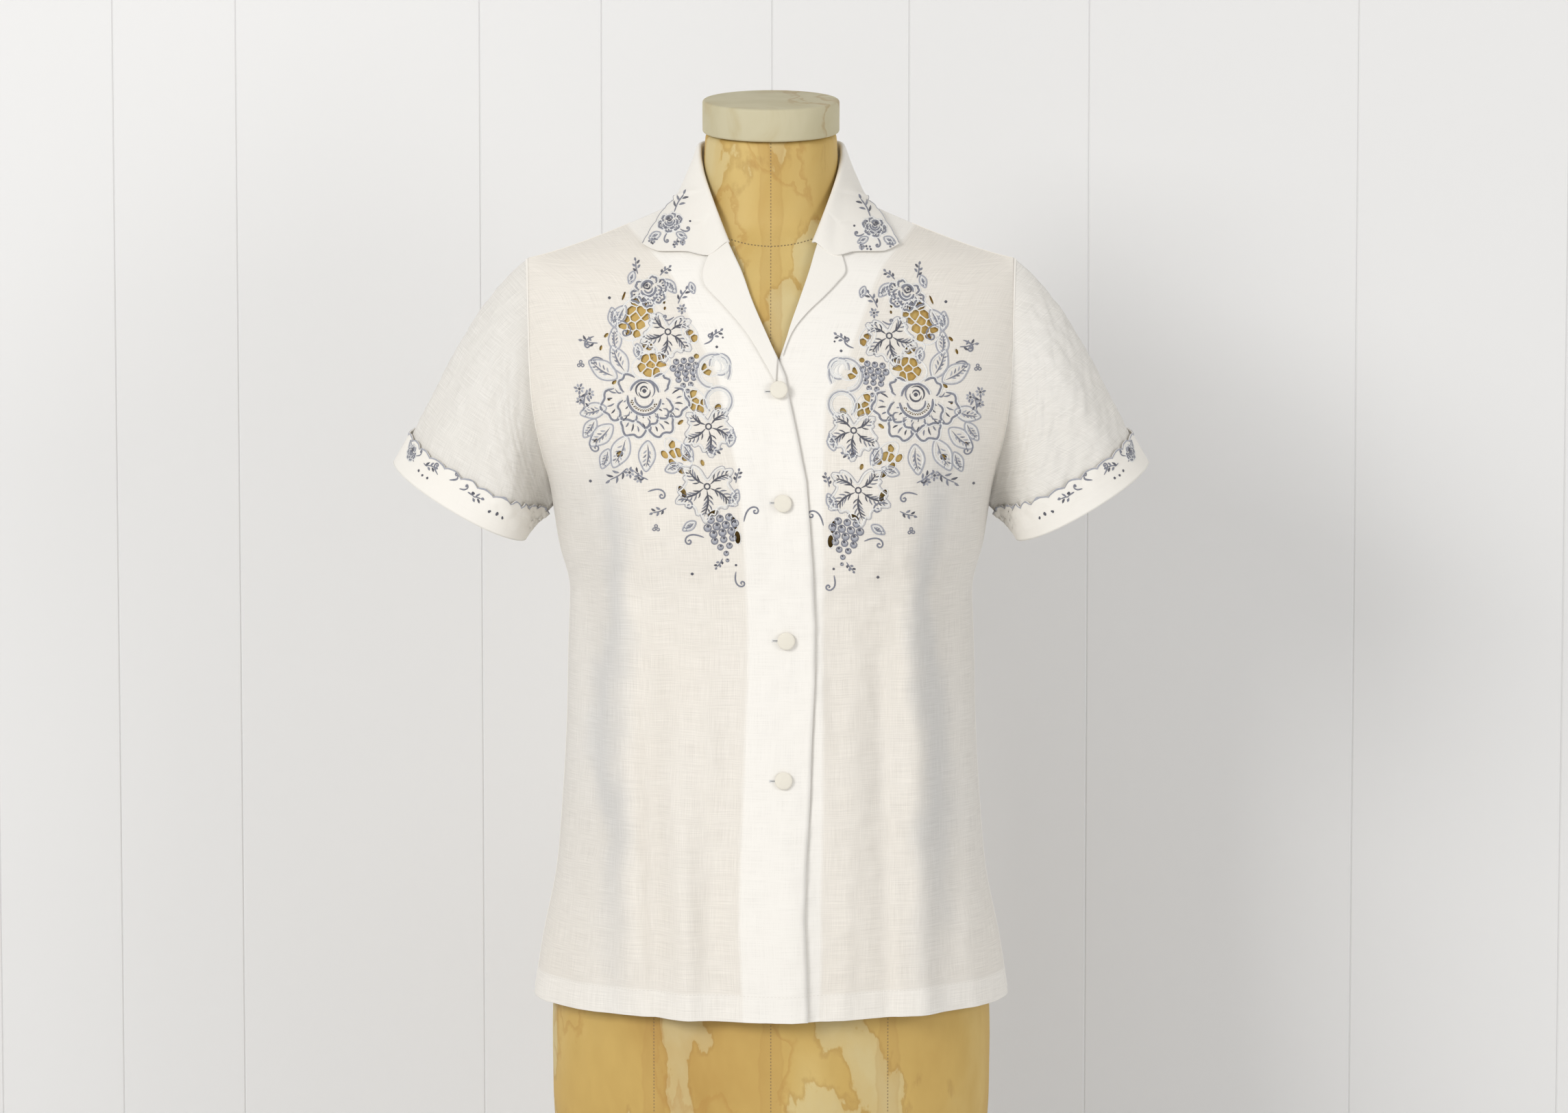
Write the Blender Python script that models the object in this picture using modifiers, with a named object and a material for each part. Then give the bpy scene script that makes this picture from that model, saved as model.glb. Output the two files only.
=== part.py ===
"""Embroidered short-sleeved blouse on a limbless dress form, built as a maker would cut it.

Metres, +Z up, the front faces -Y, the ground is Z = 0. The wearer's right is -X.
"""
import math

import bmesh
import bpy
import numpy as np
from mathutils import Vector

MM = 0.001
OBJECT_NAME = "embroidered_blouse"

# Cloth and seams
CLOTH = 1.2 * MM          # wall of every cloth piece
SEAM_GAP = 0.4 * MM       # between two pieces that are sewn together
LAY_GAP = 0.35 * MM       # between a piece and the piece that lies on it
LAP_LIFT = 3.4 * MM       # how far the lapping front stands off the other one
FORM_GAP = 0.9 * MM       # between the cloth and the form where it rests
FORM_NECK_GAP = 2.2 * MM  # as much again near the neck, where the collar holds the cloth off

# The body, row by row in mm: heights at the centre front, the side and the centre back,
# half width, depth of the centre front and back, depth of the front and back edge
# (side seam, then armhole), and the part of a half turn that the row spreads over.
BODY_COLUMNS = ("z_front", "z_side", "z_back", "half_width", "front", "back",
                "edge_front", "edge_back", "rise_back", "spread")
BODY_ROWS = (
    (327, 330, 330, 184.0, 127, 118, 0, 0, 0, 90),
    (375, 377, 377, 176.5, 127, 117, 0, 0, 0, 90),
    (425, 426, 426, 166.5, 124, 112, 0, 0, 0, 90),
    (480, 480, 480, 161.5, 120, 106, 0, 0, 0, 90),
    (540, 540, 540, 158.0, 116, 102, 0, 0, 0, 90),
    (600, 600, 600, 156.5, 114, 100, 0, 0, 0, 90),
    (645, 645, 645, 155.0, 114, 100, 0, 0, 0, 90),
    (682, 681, 681, 163.0, 116, 101, 0, 0, 0, 90),
    (715, 713, 715, 168.0, 118, 103, 0, 0, 0, 90),
    (745, 741, 745, 173.0, 119, 106, 17, 18, 0, 84),
    (775, 768, 775, 179.0, 117, 108, 30, 31, 0, 76),
    (805, 797, 805, 183.0, 112, 109, 35, 38, 0, 70),
    (835, 824, 835, 184.5, 104, 108, 34, 38, 1, 66),
    (864, 847, 866, 185.0, 93, 104, 30, 33, 2, 63),
    (892, 866, 896, 185.5, 80, 97, 25, 26, 4, 61),
    (921, 882, 926, 186.0, 65, 86, 19, 16, 6, 60),
    (951, 893.5, 958, 186.5, 42, 62, 13, 4, 6, 60),
    (980, 901, 980, 187.0, 8, -8, 8, -8, 0, 60),
)
UNDERARM_ROW = 8
SHOULDER_ROW = len(BODY_ROWS) - 1
BUST = (84 * MM, 716 * MM)           # x and z of each bust point of the general figure
BUST_SPREAD = (44 * MM, 47 * MM)
BUST_DEPTH = 15 * MM
HEM_WAVES = 7                        # soft folds across each half, from the hem to the waist
HEM_WAVE_DEPTH = 2.4 * MM
HEM_WAVE_TOP = 640 * MM

# Front edges in mm as (height, x). The wearer's right front laps over.
LAP_EDGE = ((322, 28), (368, 27), (403, 25.5), (446, 26.5), (490, 29), (541, 30.6),
            (583, 32.7), (624, 33.2), (671, 31.6), (704, 29.5), (736, 27), (770, 20),
            (795, 14.5), (814, 11), (828, 5), (850, -6.1), (871, -14.8), (892, -22.3),
            (905, -30), (914, -38), (932, -52), (950, -66), (990, -66))
UNDER_EDGE = ((322, -12), (600, -11), (770, -11), (800, -9), (815, 0), (827, 6.5), (850, 14.4),
              (871, 22), (891, 29), (905, 35), (914, 41), (932, 54), (950, 66), (990, 66))
NECK_HALF = 66 * MM                  # where the shoulder seam meets the neckline
BACK_NECK_ROW = 16.12                # how high the neckline lies at the centre back

# Sleeves in mm: the rim at the hand end is an ellipse about its centre
RIM_CENTRE = Vector((241, -4, 714.5)) * MM
RIM_OUT = Vector((48.3, 0, 26.5)) * MM
RIM_FRONT = Vector((-6, -46, -11)) * MM
SLEEVE_AXIS = Vector((0.53, 0.0, -0.85))
CUFF_HEIGHT = 27 * MM
CUFF_GAP = 1.4 * MM        # the cuff is turned back loosely over the sleeve
CUFF_SCALLOPS = 24
CUFF_SCALLOP_DEPTH = 2.6 * MM

# Collar in mm: x and height of the ends of each section, from the gorge to the centre back
ROLL = ((31, 913.5, -66), (37.5, 929, -56), (45.5, 946, -43), (52.5, 966, -24), (55.5, 982, -4),
        (54.5, 989, 14), (46, 991, 36), (27, 992, 52), (0, 992, 58))
SEAM = ((34.0, 913.5, -63), (39, 922, -55), (47, 936, -41), (58, 951, -22), (63.5, 958, -6),
        (62.5, 964, 14), (54, 967, 33), (31, 969, 46), (0, 970, 51))
OUTER_EDGE = (("front", 97.5, 911.0), ("front", 88, 926.5), ("front", 80, 937.5),
              ("front", 74.5, 943.0), ("back", 72, 949), ("back", 69, 941),
              ("back", 56, 931), ("back", 30, 925), ("back", 0, 923.5))
FALL_END = ((31, 913.5), (51.5, 901.5), (64, 905.5), (79.5, 905), (91.5, 907.5), (97.5, 911.0))
COLLAR_GAP = 1.5 * MM       # the collar lies loosely on the fronts
COLLAR_SCALLOP = 11 * MM
COLLAR_SCALLOP_DEPTH = 1.6 * MM

# Lapels in mm as (x, height): the roll from the bottom up, and the outer edge beside it
LAPEL_RIGHT_ROLL = ((5, 826.5), (-5.5, 850), (-14.3, 871), (-21.5, 891), (-29, 909.5))
LAPEL_RIGHT_EDGE = ((4, 808), (-14.8, 837.5), (-35, 863.5), (-50.2, 880), (-49, 898))
LAPEL_LEFT_ROLL = ((8.5, 829), (14.2, 850), (21.6, 871), (28.5, 891), (34, 908.5))
LAPEL_LEFT_EDGE = ((12.3, 834.5), (24.5, 850.5), (41, 868), (57.2, 890), (53.5, 898))

# Buttons in mm as (x, height): flat and covered in the same cloth
BUTTONS = ((6.2, 803), (9.8, 720), (11.5, 615.7), (9.6, 510))
BUTTON_RADIUS = 6.6 * MM
BUTTON_THICKNESS = 3.0 * MM

# Cutwork in mm on the wearer's right front. A net is an ellipse of ground (x, height,
# half length, half width, turn in degrees, spacing of its cells) cut away between bars.
NETS = (
    ("upper", -102, 857, 17, 12, 62, 6.6),
    ("leaf_gap", -61, 846, 8, 5, 125, 6.0),
    ("middle", -90, 822, 14, 9.5, 15, 6.4),
    ("scroll", -45, 821, 7.5, 6.5, 0, 5.8),
    ("beside_rose", -56, 795.5, 12, 6.5, 125, 6.2),
    ("under_rose", -69, 758, 12.5, 6.2, 135, 6.2),
    ("stem", -96, 837, 8, 4.5, 160, 6.0),
)
# A slit is one narrow gap (x, height, length, width, turn in degrees)
SLITS = (
    ("ladder_1", -79.5, 756, 6.5, 4.3, 130), ("ladder_2", -73.5, 750, 6.5, 4.3, 135),
    ("ladder_3", -67.0, 744.5, 6.5, 4.3, 140), ("leaf_low", -66, 728.5, 9, 4.6, 120),
    ("grape_top", -43, 712, 8, 4.4, 25), ("grape_side_1", -27.5, 705, 9, 4.2, 105),
    ("grape_side_2", -24.8, 694, 9, 4.2, 95), ("scroll_eye", -39.5, 791, 5.5, 4.6, 60),
    ("petal_gap", -113.5, 755.5, 5.5, 4.6, 30),
)
NET_BAR = 1.2 * MM                   # cloth left between two cells of a net
SMALLEST_CELL = 4.0 * MM             # smaller cells are stitching, not gaps
NET_JITTER = 0.28
NET_SEED = 5
MIRROR_LINE = ((660 * MM, 11 * MM), (880 * MM, 5 * MM))  # (height, x) on the left front
MIRROR_DROP = 3 * MM

# The dress form in mm: height, half width, front and back depth, up to the bust
FORM_COLUMNS = ("z", "half_width", "front", "back")
FORM_ROWS = (
    (150, 156, 104, 98), (158, 160, 108, 102), (205, 166.5, 112, 107), (260, 170.5, 115, 111),
    (330, 170, 114, 110), (400, 160, 109, 103), (470, 144, 101, 93), (540, 129, 94, 84),
    (595, 123, 91, 80), (635, 129, 95, 84), (672, 144, 106, 92), (706, 158, 113.5, 98),
)
FORM_UPPER = (9, 10, 11, 12, 12.5, 13, 13.5, 14, 14.5, 15, 15.5, 16, 16.4, 16.72)  # body rows
FORM_ARMHOLE_INSET = 3.0 * MM
NECK_RINGS = (                       # height, half width, half depth and y of the centre
    (895, 88, 68, 2), (915, 73, 57, 1), (935, 60, 53, -1), (955, 53.6, 51, -3.5),
    (975, 51.8, 50.5, -6), (998, 50.6, 50, -9.5),
)
CAP_RADIUS = 52.6 * MM
CAP_BASE = Vector((0, -11.5, 998.1)) * MM
CAP_THICKNESS = 25 * MM
CAP_TILT = math.radians(9.5)
CAP_EDGE = 2.0 * MM
POST_RADIUS = 14 * MM
POST_Y = 0.0
BASE_RADIUS = 150 * MM
BASE_THICKNESS = 24 * MM
BASE_EDGE = 5 * MM
FORM_SEGMENTS = 44

# Colours from the photo, linear values
LINEN = (0.80, 0.79, 0.74)
FACING = (0.84, 0.83, 0.78)
BUTTON_CLOTH = (0.85, 0.82, 0.72)
AGED_LINEN = (0.60, 0.42, 0.17)
CAP_PAPER = (0.52, 0.44, 0.29)
DARK_IRON = (0.05, 0.048, 0.045)


def clear_scene():
    for item in list(bpy.data.objects):
        bpy.data.objects.remove(item, do_unlink=True)


def new_collection(name):
    collection = bpy.data.collections.new(name)
    bpy.context.scene.collection.children.link(collection)
    return collection


def new_material(name, colour, roughness, metallic=0.0):
    material = bpy.data.materials.new(name)
    material.use_nodes = True
    shader = material.node_tree.nodes["Principled BSDF"]
    shader.inputs["Base Color"].default_value = (*colour, 1.0)
    shader.inputs["Roughness"].default_value = roughness
    shader.inputs["Metallic"].default_value = metallic
    return material


def smooth(t):
    t = max(0.0, min(1.0, t))
    return t * t * (3.0 - 2.0 * t)


def curve_value(rows, at):
    """Value of each column of a table at a fractional row, on a smooth curve."""
    last = len(rows) - 1
    at = max(0.0, min(float(last), at))
    start = min(int(at), last - 1)
    t = at - start
    before, here = rows[max(start - 1, 0)], rows[start]
    there, after = rows[start + 1], rows[min(start + 2, last)]
    out = []
    for a, b, c, d in zip(before, here, there, after):
        lean_in, lean_out = (c - a) / 2.0, (d - b) / 2.0
        if (b - a) * (c - b) <= 0.0:
            lean_in = 0.0
        if (c - b) * (d - c) <= 0.0:
            lean_out = 0.0
        out.append((2 * t**3 - 3 * t**2 + 1) * b + (t**3 - 2 * t**2 + t) * lean_in
                   + (3 * t**2 - 2 * t**3) * c + (t**3 - t**2) * lean_out)
    return out


def table_at(pairs, key):
    """Second column at a value of the first, straight between the rows."""
    return float(np.interp(key, [pair[0] for pair in pairs], [pair[1] for pair in pairs]))


def body_row(row):
    values = dict(zip(BODY_COLUMNS, curve_value(BODY_ROWS, row)))
    return {name: (value if name == "spread" else value * MM) for name, value in values.items()}


def bust(x, z):
    near = ((abs(x) - BUST[0]) / BUST_SPREAD[0]) ** 2 + ((z - BUST[1]) / BUST_SPREAD[1]) ** 2
    return BUST_DEPTH * math.exp(-near / 2.0)


def hem_wave(around, z):
    rest = smooth((HEM_WAVE_TOP - z) / (HEM_WAVE_TOP - BODY_ROWS[0][0] * MM))
    calm = smooth(abs(around) * 4.0)
    return HEM_WAVE_DEPTH * rest * calm * math.sin(around * HEM_WAVES * math.pi * 0.93 + 0.6)


def body_point(around, row, side):
    """Point of the cloth's inner face: around is -1 to 1 across the front or the back."""
    size = body_row(row)
    spread = math.radians(size["spread"])
    half, angle = size["half_width"], around * spread
    x = half * math.sin(angle) / math.sin(spread)
    bow = (math.cos(angle) - math.cos(spread)) / (1.0 - math.cos(spread))
    across = math.sqrt((x / half) ** 2 + 0.008)
    climb = max(0.0, 1.004 - across) ** 1.25
    if side == "front":
        y = -(size["edge_front"] + (size["front"] - size["edge_front"]) * max(bow, 0.0) ** 0.92)
        z = size["z_side"] + (size["z_front"] - size["z_side"]) * climb
        y -= bust(x, z)
        y -= hem_wave(around, z) * max(bow, 0.0)
        return Vector((x, y, z))
    y = size["edge_back"] + (size["back"] - size["edge_back"]) * max(bow, 0.0) ** 0.92
    z = size["z_side"] + size["rise_back"] * math.sin(math.pi * min(1.0, abs(around) * 0.5 + 0.5))
    z += (size["z_back"] - size["z_side"]) * climb
    y += hem_wave(around + 0.13, z) * max(bow, 0.0)
    return Vector((x, y, z))


def body_normal(around, row, side):
    """Outward direction of the cloth there."""
    step = 0.01
    low, high = max(-1.0, around - step), min(1.0, around + step)
    under, over = max(0.0, row - 0.08), min(float(SHOULDER_ROW), row + 0.08)
    across = body_point(high, row, side) - body_point(low, row, side)
    up = body_point(around, over, side) - body_point(around, under, side)
    normal = across.cross(up).normalized()
    return normal if (normal.y < 0.0) == (side == "front") else -normal


def locate(x, z, side):
    """The (around, row) of the point of the body at x and height z."""
    low, high = 0.0, float(SHOULDER_ROW)
    around = 0.0
    for _ in range(40):
        row = (low + high) / 2.0
        size = body_row(row)
        spread = math.radians(size["spread"])
        reach = max(-1.0, min(1.0, x / size["half_width"]))
        around = math.asin(reach * math.sin(spread)) / spread
        if body_point(around, row, side).z < z:
            low = row
        else:
            high = row
    return around, (low + high) / 2.0


def on_body(x, z, side, lift):
    """Point at x and height z, the given distance out from the body's inner face."""
    around, row = locate(x, z, side)
    return body_point(around, row, side) + body_normal(around, row, side) * lift


def edge_around(row, edge):
    """Where a front's inner edge crosses a row."""
    size = body_row(row)
    spread = math.radians(size["spread"])
    around = 0.0
    for _ in range(12):
        x = table_at(edge, body_point(around, row, "front").z / MM) * MM
        reach = max(-1.0, min(1.0, x / size["half_width"]))
        around = math.asin(reach * math.sin(spread)) / spread
    return around


def lap_lift(x, z):
    """How far the lapping front stands out near its edge."""
    return LAP_LIFT * smooth((x / MM + 30.0) / 16.0) * smooth((872.0 - z / MM) / 40.0)


def sheet_object(name, grid, collection, material, closed=False, flip=False):
    """A cloth piece: a grid of points of its inner face, made CLOTH thick."""
    mesh = bmesh.new()
    rows = [[mesh.verts.new(point) for point in line] for line in grid]
    width = len(rows[0])
    for low, high in zip(rows, rows[1:]):
        for j in range(width if closed else width - 1):
            k = (j + 1) % width
            corners = (low[j], low[k], high[k], high[j])
            mesh.faces.new(corners[::-1] if flip else corners)
    data = bpy.data.meshes.new(name)
    mesh.to_mesh(data)
    mesh.free()
    return add_object(name, data, collection, material, thick=True)


def add_object(name, data, collection, material, thick=False):
    item = bpy.data.objects.new(name, data)
    collection.objects.link(item)
    data.materials.append(material)
    if thick:
        solid = item.modifiers.new("cloth_wall", "SOLIDIFY")
        solid.thickness = CLOTH
        solid.offset = 1.0
        solid.use_even_offset = False
    return item


def front_rows():
    """Rows of a front, closer where the neckline and the armhole curve."""
    lower = [float(i) for i in range(UNDERARM_ROW)]
    upper = [UNDERARM_ROW + i * (SHOULDER_ROW - UNDERARM_ROW) / 18.0 for i in range(19)]
    return lower + upper


def front_grid(side_sign, edge, lapping):
    columns = 11
    grid = []
    for row in front_rows():
        inner = edge_around(row, edge)
        line = []
        for j in range(columns + 1):
            around = inner + (side_sign - inner) * j / columns
            point = body_point(around, row, "front")
            if lapping:
                point += body_normal(around, row, "front") * lap_lift(point.x, point.z)
            line.append(point)
        grid.append(line)
    return grid


def back_top_row(around):
    """The row where the back ends: the shoulder seam, or the scoop of the neckline."""
    x = body_point(around, SHOULDER_ROW, "back").x
    if abs(x) >= NECK_HALF:
        return float(SHOULDER_ROW)
    scoop = math.sqrt(1.0 - (x / NECK_HALF) ** 2)
    return SHOULDER_ROW - (SHOULDER_ROW - BACK_NECK_ROW) * scoop


def back_grid():
    columns = 22
    fixed = UNDERARM_ROW + 4.0
    grid = []
    for i in range(23):
        line = []
        for j in range(columns + 1):
            around = -1.0 + 2.0 * j / columns
            if i <= 12:
                row = fixed * i / 12.0
            else:
                row = fixed + (back_top_row(around) - fixed) * (i - 12) / 10.0
            line.append(body_point(around, row, "back") + Vector((0.0, SEAM_GAP, 0.0)))
        grid.append(line)
    return grid


def armhole_loop(turn):
    """Point of the armhole: turn 0 is the shoulder, 0.25 the front, 0.5 the underarm."""
    turn %= 1.0
    deep = 1.0 - abs(turn * 2.0 - 1.0)
    row = SHOULDER_ROW - (SHOULDER_ROW - UNDERARM_ROW) * deep ** 0.9
    side = "front" if turn < 0.5 else "back"
    point = body_point(1.0, row, side)
    return point + Vector((1.9 * MM, 0.0, -0.9 * MM * deep))


def rim_loop(turn):
    angle = 2.0 * math.pi * turn
    return RIM_CENTRE + RIM_OUT * math.cos(angle) + RIM_FRONT * math.sin(angle)


def sleeve_point(turn, along, lift=0.0):
    """Point of the wearer's left sleeve, from the armhole (0) to the rim (1)."""
    start, end = armhole_loop(turn), rim_loop(turn)
    length = (end - start).length
    angle = 2.0 * math.pi * turn
    over, ahead = math.cos(angle), math.sin(angle)
    leave = Vector((0.72, -0.26 * ahead, -0.62 - 0.12 * (1.0 - over))).normalized()
    arrive = SLEEVE_AXIS.normalized()
    a, b = start + leave * length * 0.36, end - arrive * length * 0.36
    t, s = along, 1.0 - along
    point = start * s**3 + a * (3 * s * s * t) + b * (3 * s * t * t) + end * t**3
    if lift:
        point += sleeve_normal(turn, along) * lift
    return point


def sleeve_normal(turn, along):
    around = sleeve_point(turn + 0.004, along) - sleeve_point(turn - 0.004, along)
    down = sleeve_point(turn, min(1.0, along + 0.01)) - sleeve_point(turn, max(0.0, along - 0.01))
    normal = around.cross(down).normalized()
    centre = (armhole_loop(0.0) + armhole_loop(0.5)) * (0.5 * (1.0 - along)) + RIM_CENTRE * along
    return normal if normal.dot(sleeve_point(turn, along) - centre) > 0.0 else -normal


def cuff_start(turn, height):
    """How far along the sleeve a point lies that is the given distance above the rim."""
    end, low, high = rim_loop(turn), 0.0, 1.0
    for _ in range(24):
        mid = (low + high) / 2.0
        if (sleeve_point(turn, mid) - end).length > height:
            low = mid
        else:
            high = mid
    return (low + high) / 2.0


def mirrored(grid, sign):
    return [[Vector((point.x * sign, point.y, point.z)) for point in line] for line in grid]


def sleeve_grid():
    return [[sleeve_point(j / 26.0, i / 8.0) for j in range(26)] for i in range(9)]


def cuff_grid():
    count = CUFF_SCALLOPS * 3
    grid = []
    for level in (0.0, 0.5, 1.0):
        line = []
        for j in range(count):
            turn = j / count
            wave = abs(math.sin(math.pi * CUFF_SCALLOPS * turn))
            height = CUFF_HEIGHT + CUFF_SCALLOP_DEPTH * (wave - 0.5)
            top = cuff_start(turn, height)
            line.append(sleeve_point(turn, top + (1.0 - top) * level, CLOTH + CUFF_GAP))
        grid.append(line)
    return grid


def smooth_points(points, count):
    """Evenly placed points on a smooth curve through the given ones."""
    rows = [tuple(point) for point in points]
    fine = [Vector(curve_value(rows, (len(rows) - 1) * i / 200.0)) for i in range(201)]
    lengths = [0.0]
    for a, b in zip(fine, fine[1:]):
        lengths.append(lengths[-1] + (b - a).length)
    out = []
    for i in range(count):
        at = float(np.interp(lengths[-1] * i / (count - 1.0), lengths, range(201)))
        out.append(Vector(curve_value(rows, (len(rows) - 1) * at / 200.0)))
    return out


def collar_edge_points():
    lift = CLOTH + COLLAR_GAP
    return [on_body(x * MM, z * MM, side, lift + (2.6 * MM if side == "back" else 0.0))
            for side, x, z in OUTER_EDGE]


def collar_grid():
    """Half-collar sections from the gorge to the centre back, then their mirror images."""
    count = 23
    roll = smooth_points([Vector((x, y, z)) * MM for x, z, y in ROLL], count)
    seam = smooth_points([Vector((x, y, z)) * MM for x, z, y in SEAM], count)
    edge = smooth_points(collar_edge_points(), count)
    end = [on_body(x * MM, z * MM, "front", CLOTH + COLLAR_GAP) for x, z in FALL_END]
    end = smooth_points(end, 9)
    half = []
    length = 0.0
    for i in range(count):
        if i:
            length += (edge[i] - edge[i - 1]).length
        out = (edge[i] - roll[i]).normalized()
        wave = abs(math.sin(math.pi * length / COLLAR_SCALLOP))
        tip = edge[i] + out * COLLAR_SCALLOP_DEPTH * (wave - 0.5) * smooth(i / 2.0)
        outward = Vector((roll[i].x, roll[i].y + 6 * MM, 0.0)).normalized()
        stand_height = (roll[i] - seam[i]).length
        body = min(1.0, stand_height / (20 * MM))
        line = [seam[i] - outward * 0.3 * MM]
        line.append(seam[i].lerp(roll[i], 0.55) - outward * (0.6 * MM * body))
        line.append(roll[i] - outward * (1.3 * MM * body) - Vector((0, 0, 1.2 * MM * body)))
        line.append(roll[i] + outward * (0.2 * MM) + Vector((0, 0, 0.5 * MM * body)))
        blend = smooth(i / 5.0)
        shape = smooth_points([roll[i], roll[i].lerp(tip, 0.5), tip], 5)
        for k in range(1, 5):
            straight = shape[k]
            bulge = math.sin(math.pi * k / 4.0) * 3.0 * MM * body
            away = Vector((outward.x, outward.y, 0.5)).normalized()
            point = straight + away * bulge
            if blend < 1.0:
                point = end[k * 2].lerp(point, blend)
            line.append(point)
        half.append(line)
    mirror = [[Vector((-point.x, point.y, point.z)) for point in line] for line in half[:-1]]
    return mirror + half[::-1]


def lapel_grid(roll, edge, lapping):
    lift = CLOTH + LAY_GAP
    count, columns = 10, 4
    inner = smooth_points([Vector((x, 0, z)) * MM for x, z in roll], count)
    outer = smooth_points([Vector((x, 0, z)) * MM for x, z in edge], count)
    grid = []
    for a, b in zip(inner, outer):
        line = []
        for j in range(columns + 1):
            flat = a.lerp(b, j / columns)
            extra = lap_lift(flat.x, flat.z) if lapping else 0.0
            line.append(on_body(flat.x, flat.z, "front", lift + extra))
        grid.append(line)
    return grid


def button_object(name, x, z, lift, collection, material):
    around, row = locate(x, z, "front")
    facing = body_normal(around, row, "front")
    point = body_point(around, row, "front")
    back = point + facing * (lap_lift(x, z) + lift)
    bpy.ops.mesh.primitive_cylinder_add(vertices=16, radius=BUTTON_RADIUS, depth=BUTTON_THICKNESS)
    item = bpy.context.active_object
    turn = facing.to_track_quat("Z", "X").to_matrix().to_4x4()
    turn.translation = back + facing * (BUTTON_THICKNESS / 2.0)
    item.data.transform(turn)
    for owner in list(item.users_collection):
        owner.objects.unlink(item)
    collection.objects.link(item)
    item.name = name
    item.data.name = name
    item.data.materials.append(material)
    bevel = item.modifiers.new("rounded_rim", "BEVEL")
    bevel.width = 0.7 * MM
    bevel.segments = 1
    bevel.limit_method = "ANGLE"
    return item


def clip(polygon, point, normal):
    """The part of a convex polygon on the side of a line that its normal points away from."""
    out = []
    for i, here in enumerate(polygon):
        there = polygon[(i + 1) % len(polygon)]
        a = (here[0] - point[0]) * normal[0] + (here[1] - point[1]) * normal[1]
        b = (there[0] - point[0]) * normal[0] + (there[1] - point[1]) * normal[1]
        if a <= 0.0:
            out.append(here)
        if (a < 0.0 < b) or (b < 0.0 < a):
            t = a / (a - b)
            out.append((here[0] + (there[0] - here[0]) * t, here[1] + (there[1] - here[1]) * t))
    return out


def turned_ellipse(x, z, length, width, turn, corners):
    angle = math.radians(turn)
    out = []
    for i in range(corners):
        u = length * math.cos(2.0 * math.pi * i / corners)
        w = width * math.sin(2.0 * math.pi * i / corners)
        out.append((x + u * math.cos(angle) - w * math.sin(angle),
                    z + u * math.sin(angle) + w * math.cos(angle)))
    return out


def net_cells(x, z, length, width, turn, spacing, chance):
    """Cells of a net: the ground nearest each knot, with half a bar taken off every side."""
    outline = turned_ellipse(x, z, length, width, turn, 14)
    knots = []
    angle = math.radians(turn)
    reach = int(length / spacing) + 2
    for i in range(-reach, reach + 1):
        for j in range(-reach, reach + 1):
            u = (i + 0.5 * (j % 2) + chance.uniform(-NET_JITTER, NET_JITTER)) * spacing
            w = (j * 0.9 + chance.uniform(-NET_JITTER, NET_JITTER)) * spacing
            knots.append((x + u * math.cos(angle) - w * math.sin(angle),
                          z + u * math.sin(angle) + w * math.cos(angle)))
    cells = []
    for knot in knots:
        cell = list(outline)
        for other in knots:
            dx, dz = other[0] - knot[0], other[1] - knot[1]
            far = math.hypot(dx, dz)
            if far < 1e-9 or far > 3.2 * spacing or not cell:
                continue
            normal = (dx / far, dz / far)
            half = far / 2.0 - NET_BAR / 2.0
            cell = clip(cell, (knot[0] + normal[0] * half, knot[1] + normal[1] * half), normal)
        if len(cell) >= 3 and cell_width(cell) >= SMALLEST_CELL:
            cells.append(cell)
    return cells


def cell_width(cell):
    """Smallest distance between two parallel lines that hold the cell."""
    best = 1.0
    for step in range(12):
        angle = math.pi * step / 12.0
        along = [x * math.cos(angle) + z * math.sin(angle) for x, z in cell]
        best = min(best, max(along) - min(along))
    return best


def cut_outlines():
    """Every gap of the wearer's right front, as outlines in x and z."""
    chance = np.random.default_rng(NET_SEED)
    out = []
    for _, x, z, length, width, turn, spacing in NETS:
        out += net_cells(x * MM, z * MM, length * MM, width * MM, turn, spacing * MM, chance)
    for _, x, z, length, width, turn in SLITS:
        out.append(turned_ellipse(x * MM, z * MM, length * MM / 2.0, width * MM / 2.0, turn, 8))
    return out


def mirror_outline(outline):
    out = []
    for x, z in outline:
        line = float(np.interp(z, [MIRROR_LINE[0][0], MIRROR_LINE[1][0]],
                               [MIRROR_LINE[0][1], MIRROR_LINE[1][1]]))
        out.append((2.0 * line - x, z - MIRROR_DROP))
    return out


def cut_gaps(target, outlines, name, cutters):
    """Cut every outline through the front, straight back from the wearer's front."""
    mesh = bmesh.new()
    for outline in outlines:
        x = sum(point[0] for point in outline) / len(outline)
        z = sum(point[1] for point in outline) / len(outline)
        depth = on_body(x, z, "front", 0.0).y
        near = [mesh.verts.new((px, depth - 9 * MM, pz)) for px, pz in outline]
        far = [mesh.verts.new((px, depth + 9 * MM, pz)) for px, pz in outline]
        count = len(outline)
        mesh.faces.new(near)
        mesh.faces.new(far[::-1])
        for i in range(count):
            k = (i + 1) % count
            mesh.faces.new((near[k], near[i], far[i], far[k]))
    bmesh.ops.recalc_face_normals(mesh, faces=mesh.faces)
    data = bpy.data.meshes.new(name)
    mesh.to_mesh(data)
    mesh.free()
    cutter = bpy.data.objects.new(name, data)
    cutters.objects.link(cutter)
    cutter.hide_render = True
    cutter.display_type = "WIRE"
    cut = target.modifiers.new("cutwork", "BOOLEAN")
    cut.operation = "DIFFERENCE"
    cut.solver = "EXACT"
    cut.object = cutter


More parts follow.
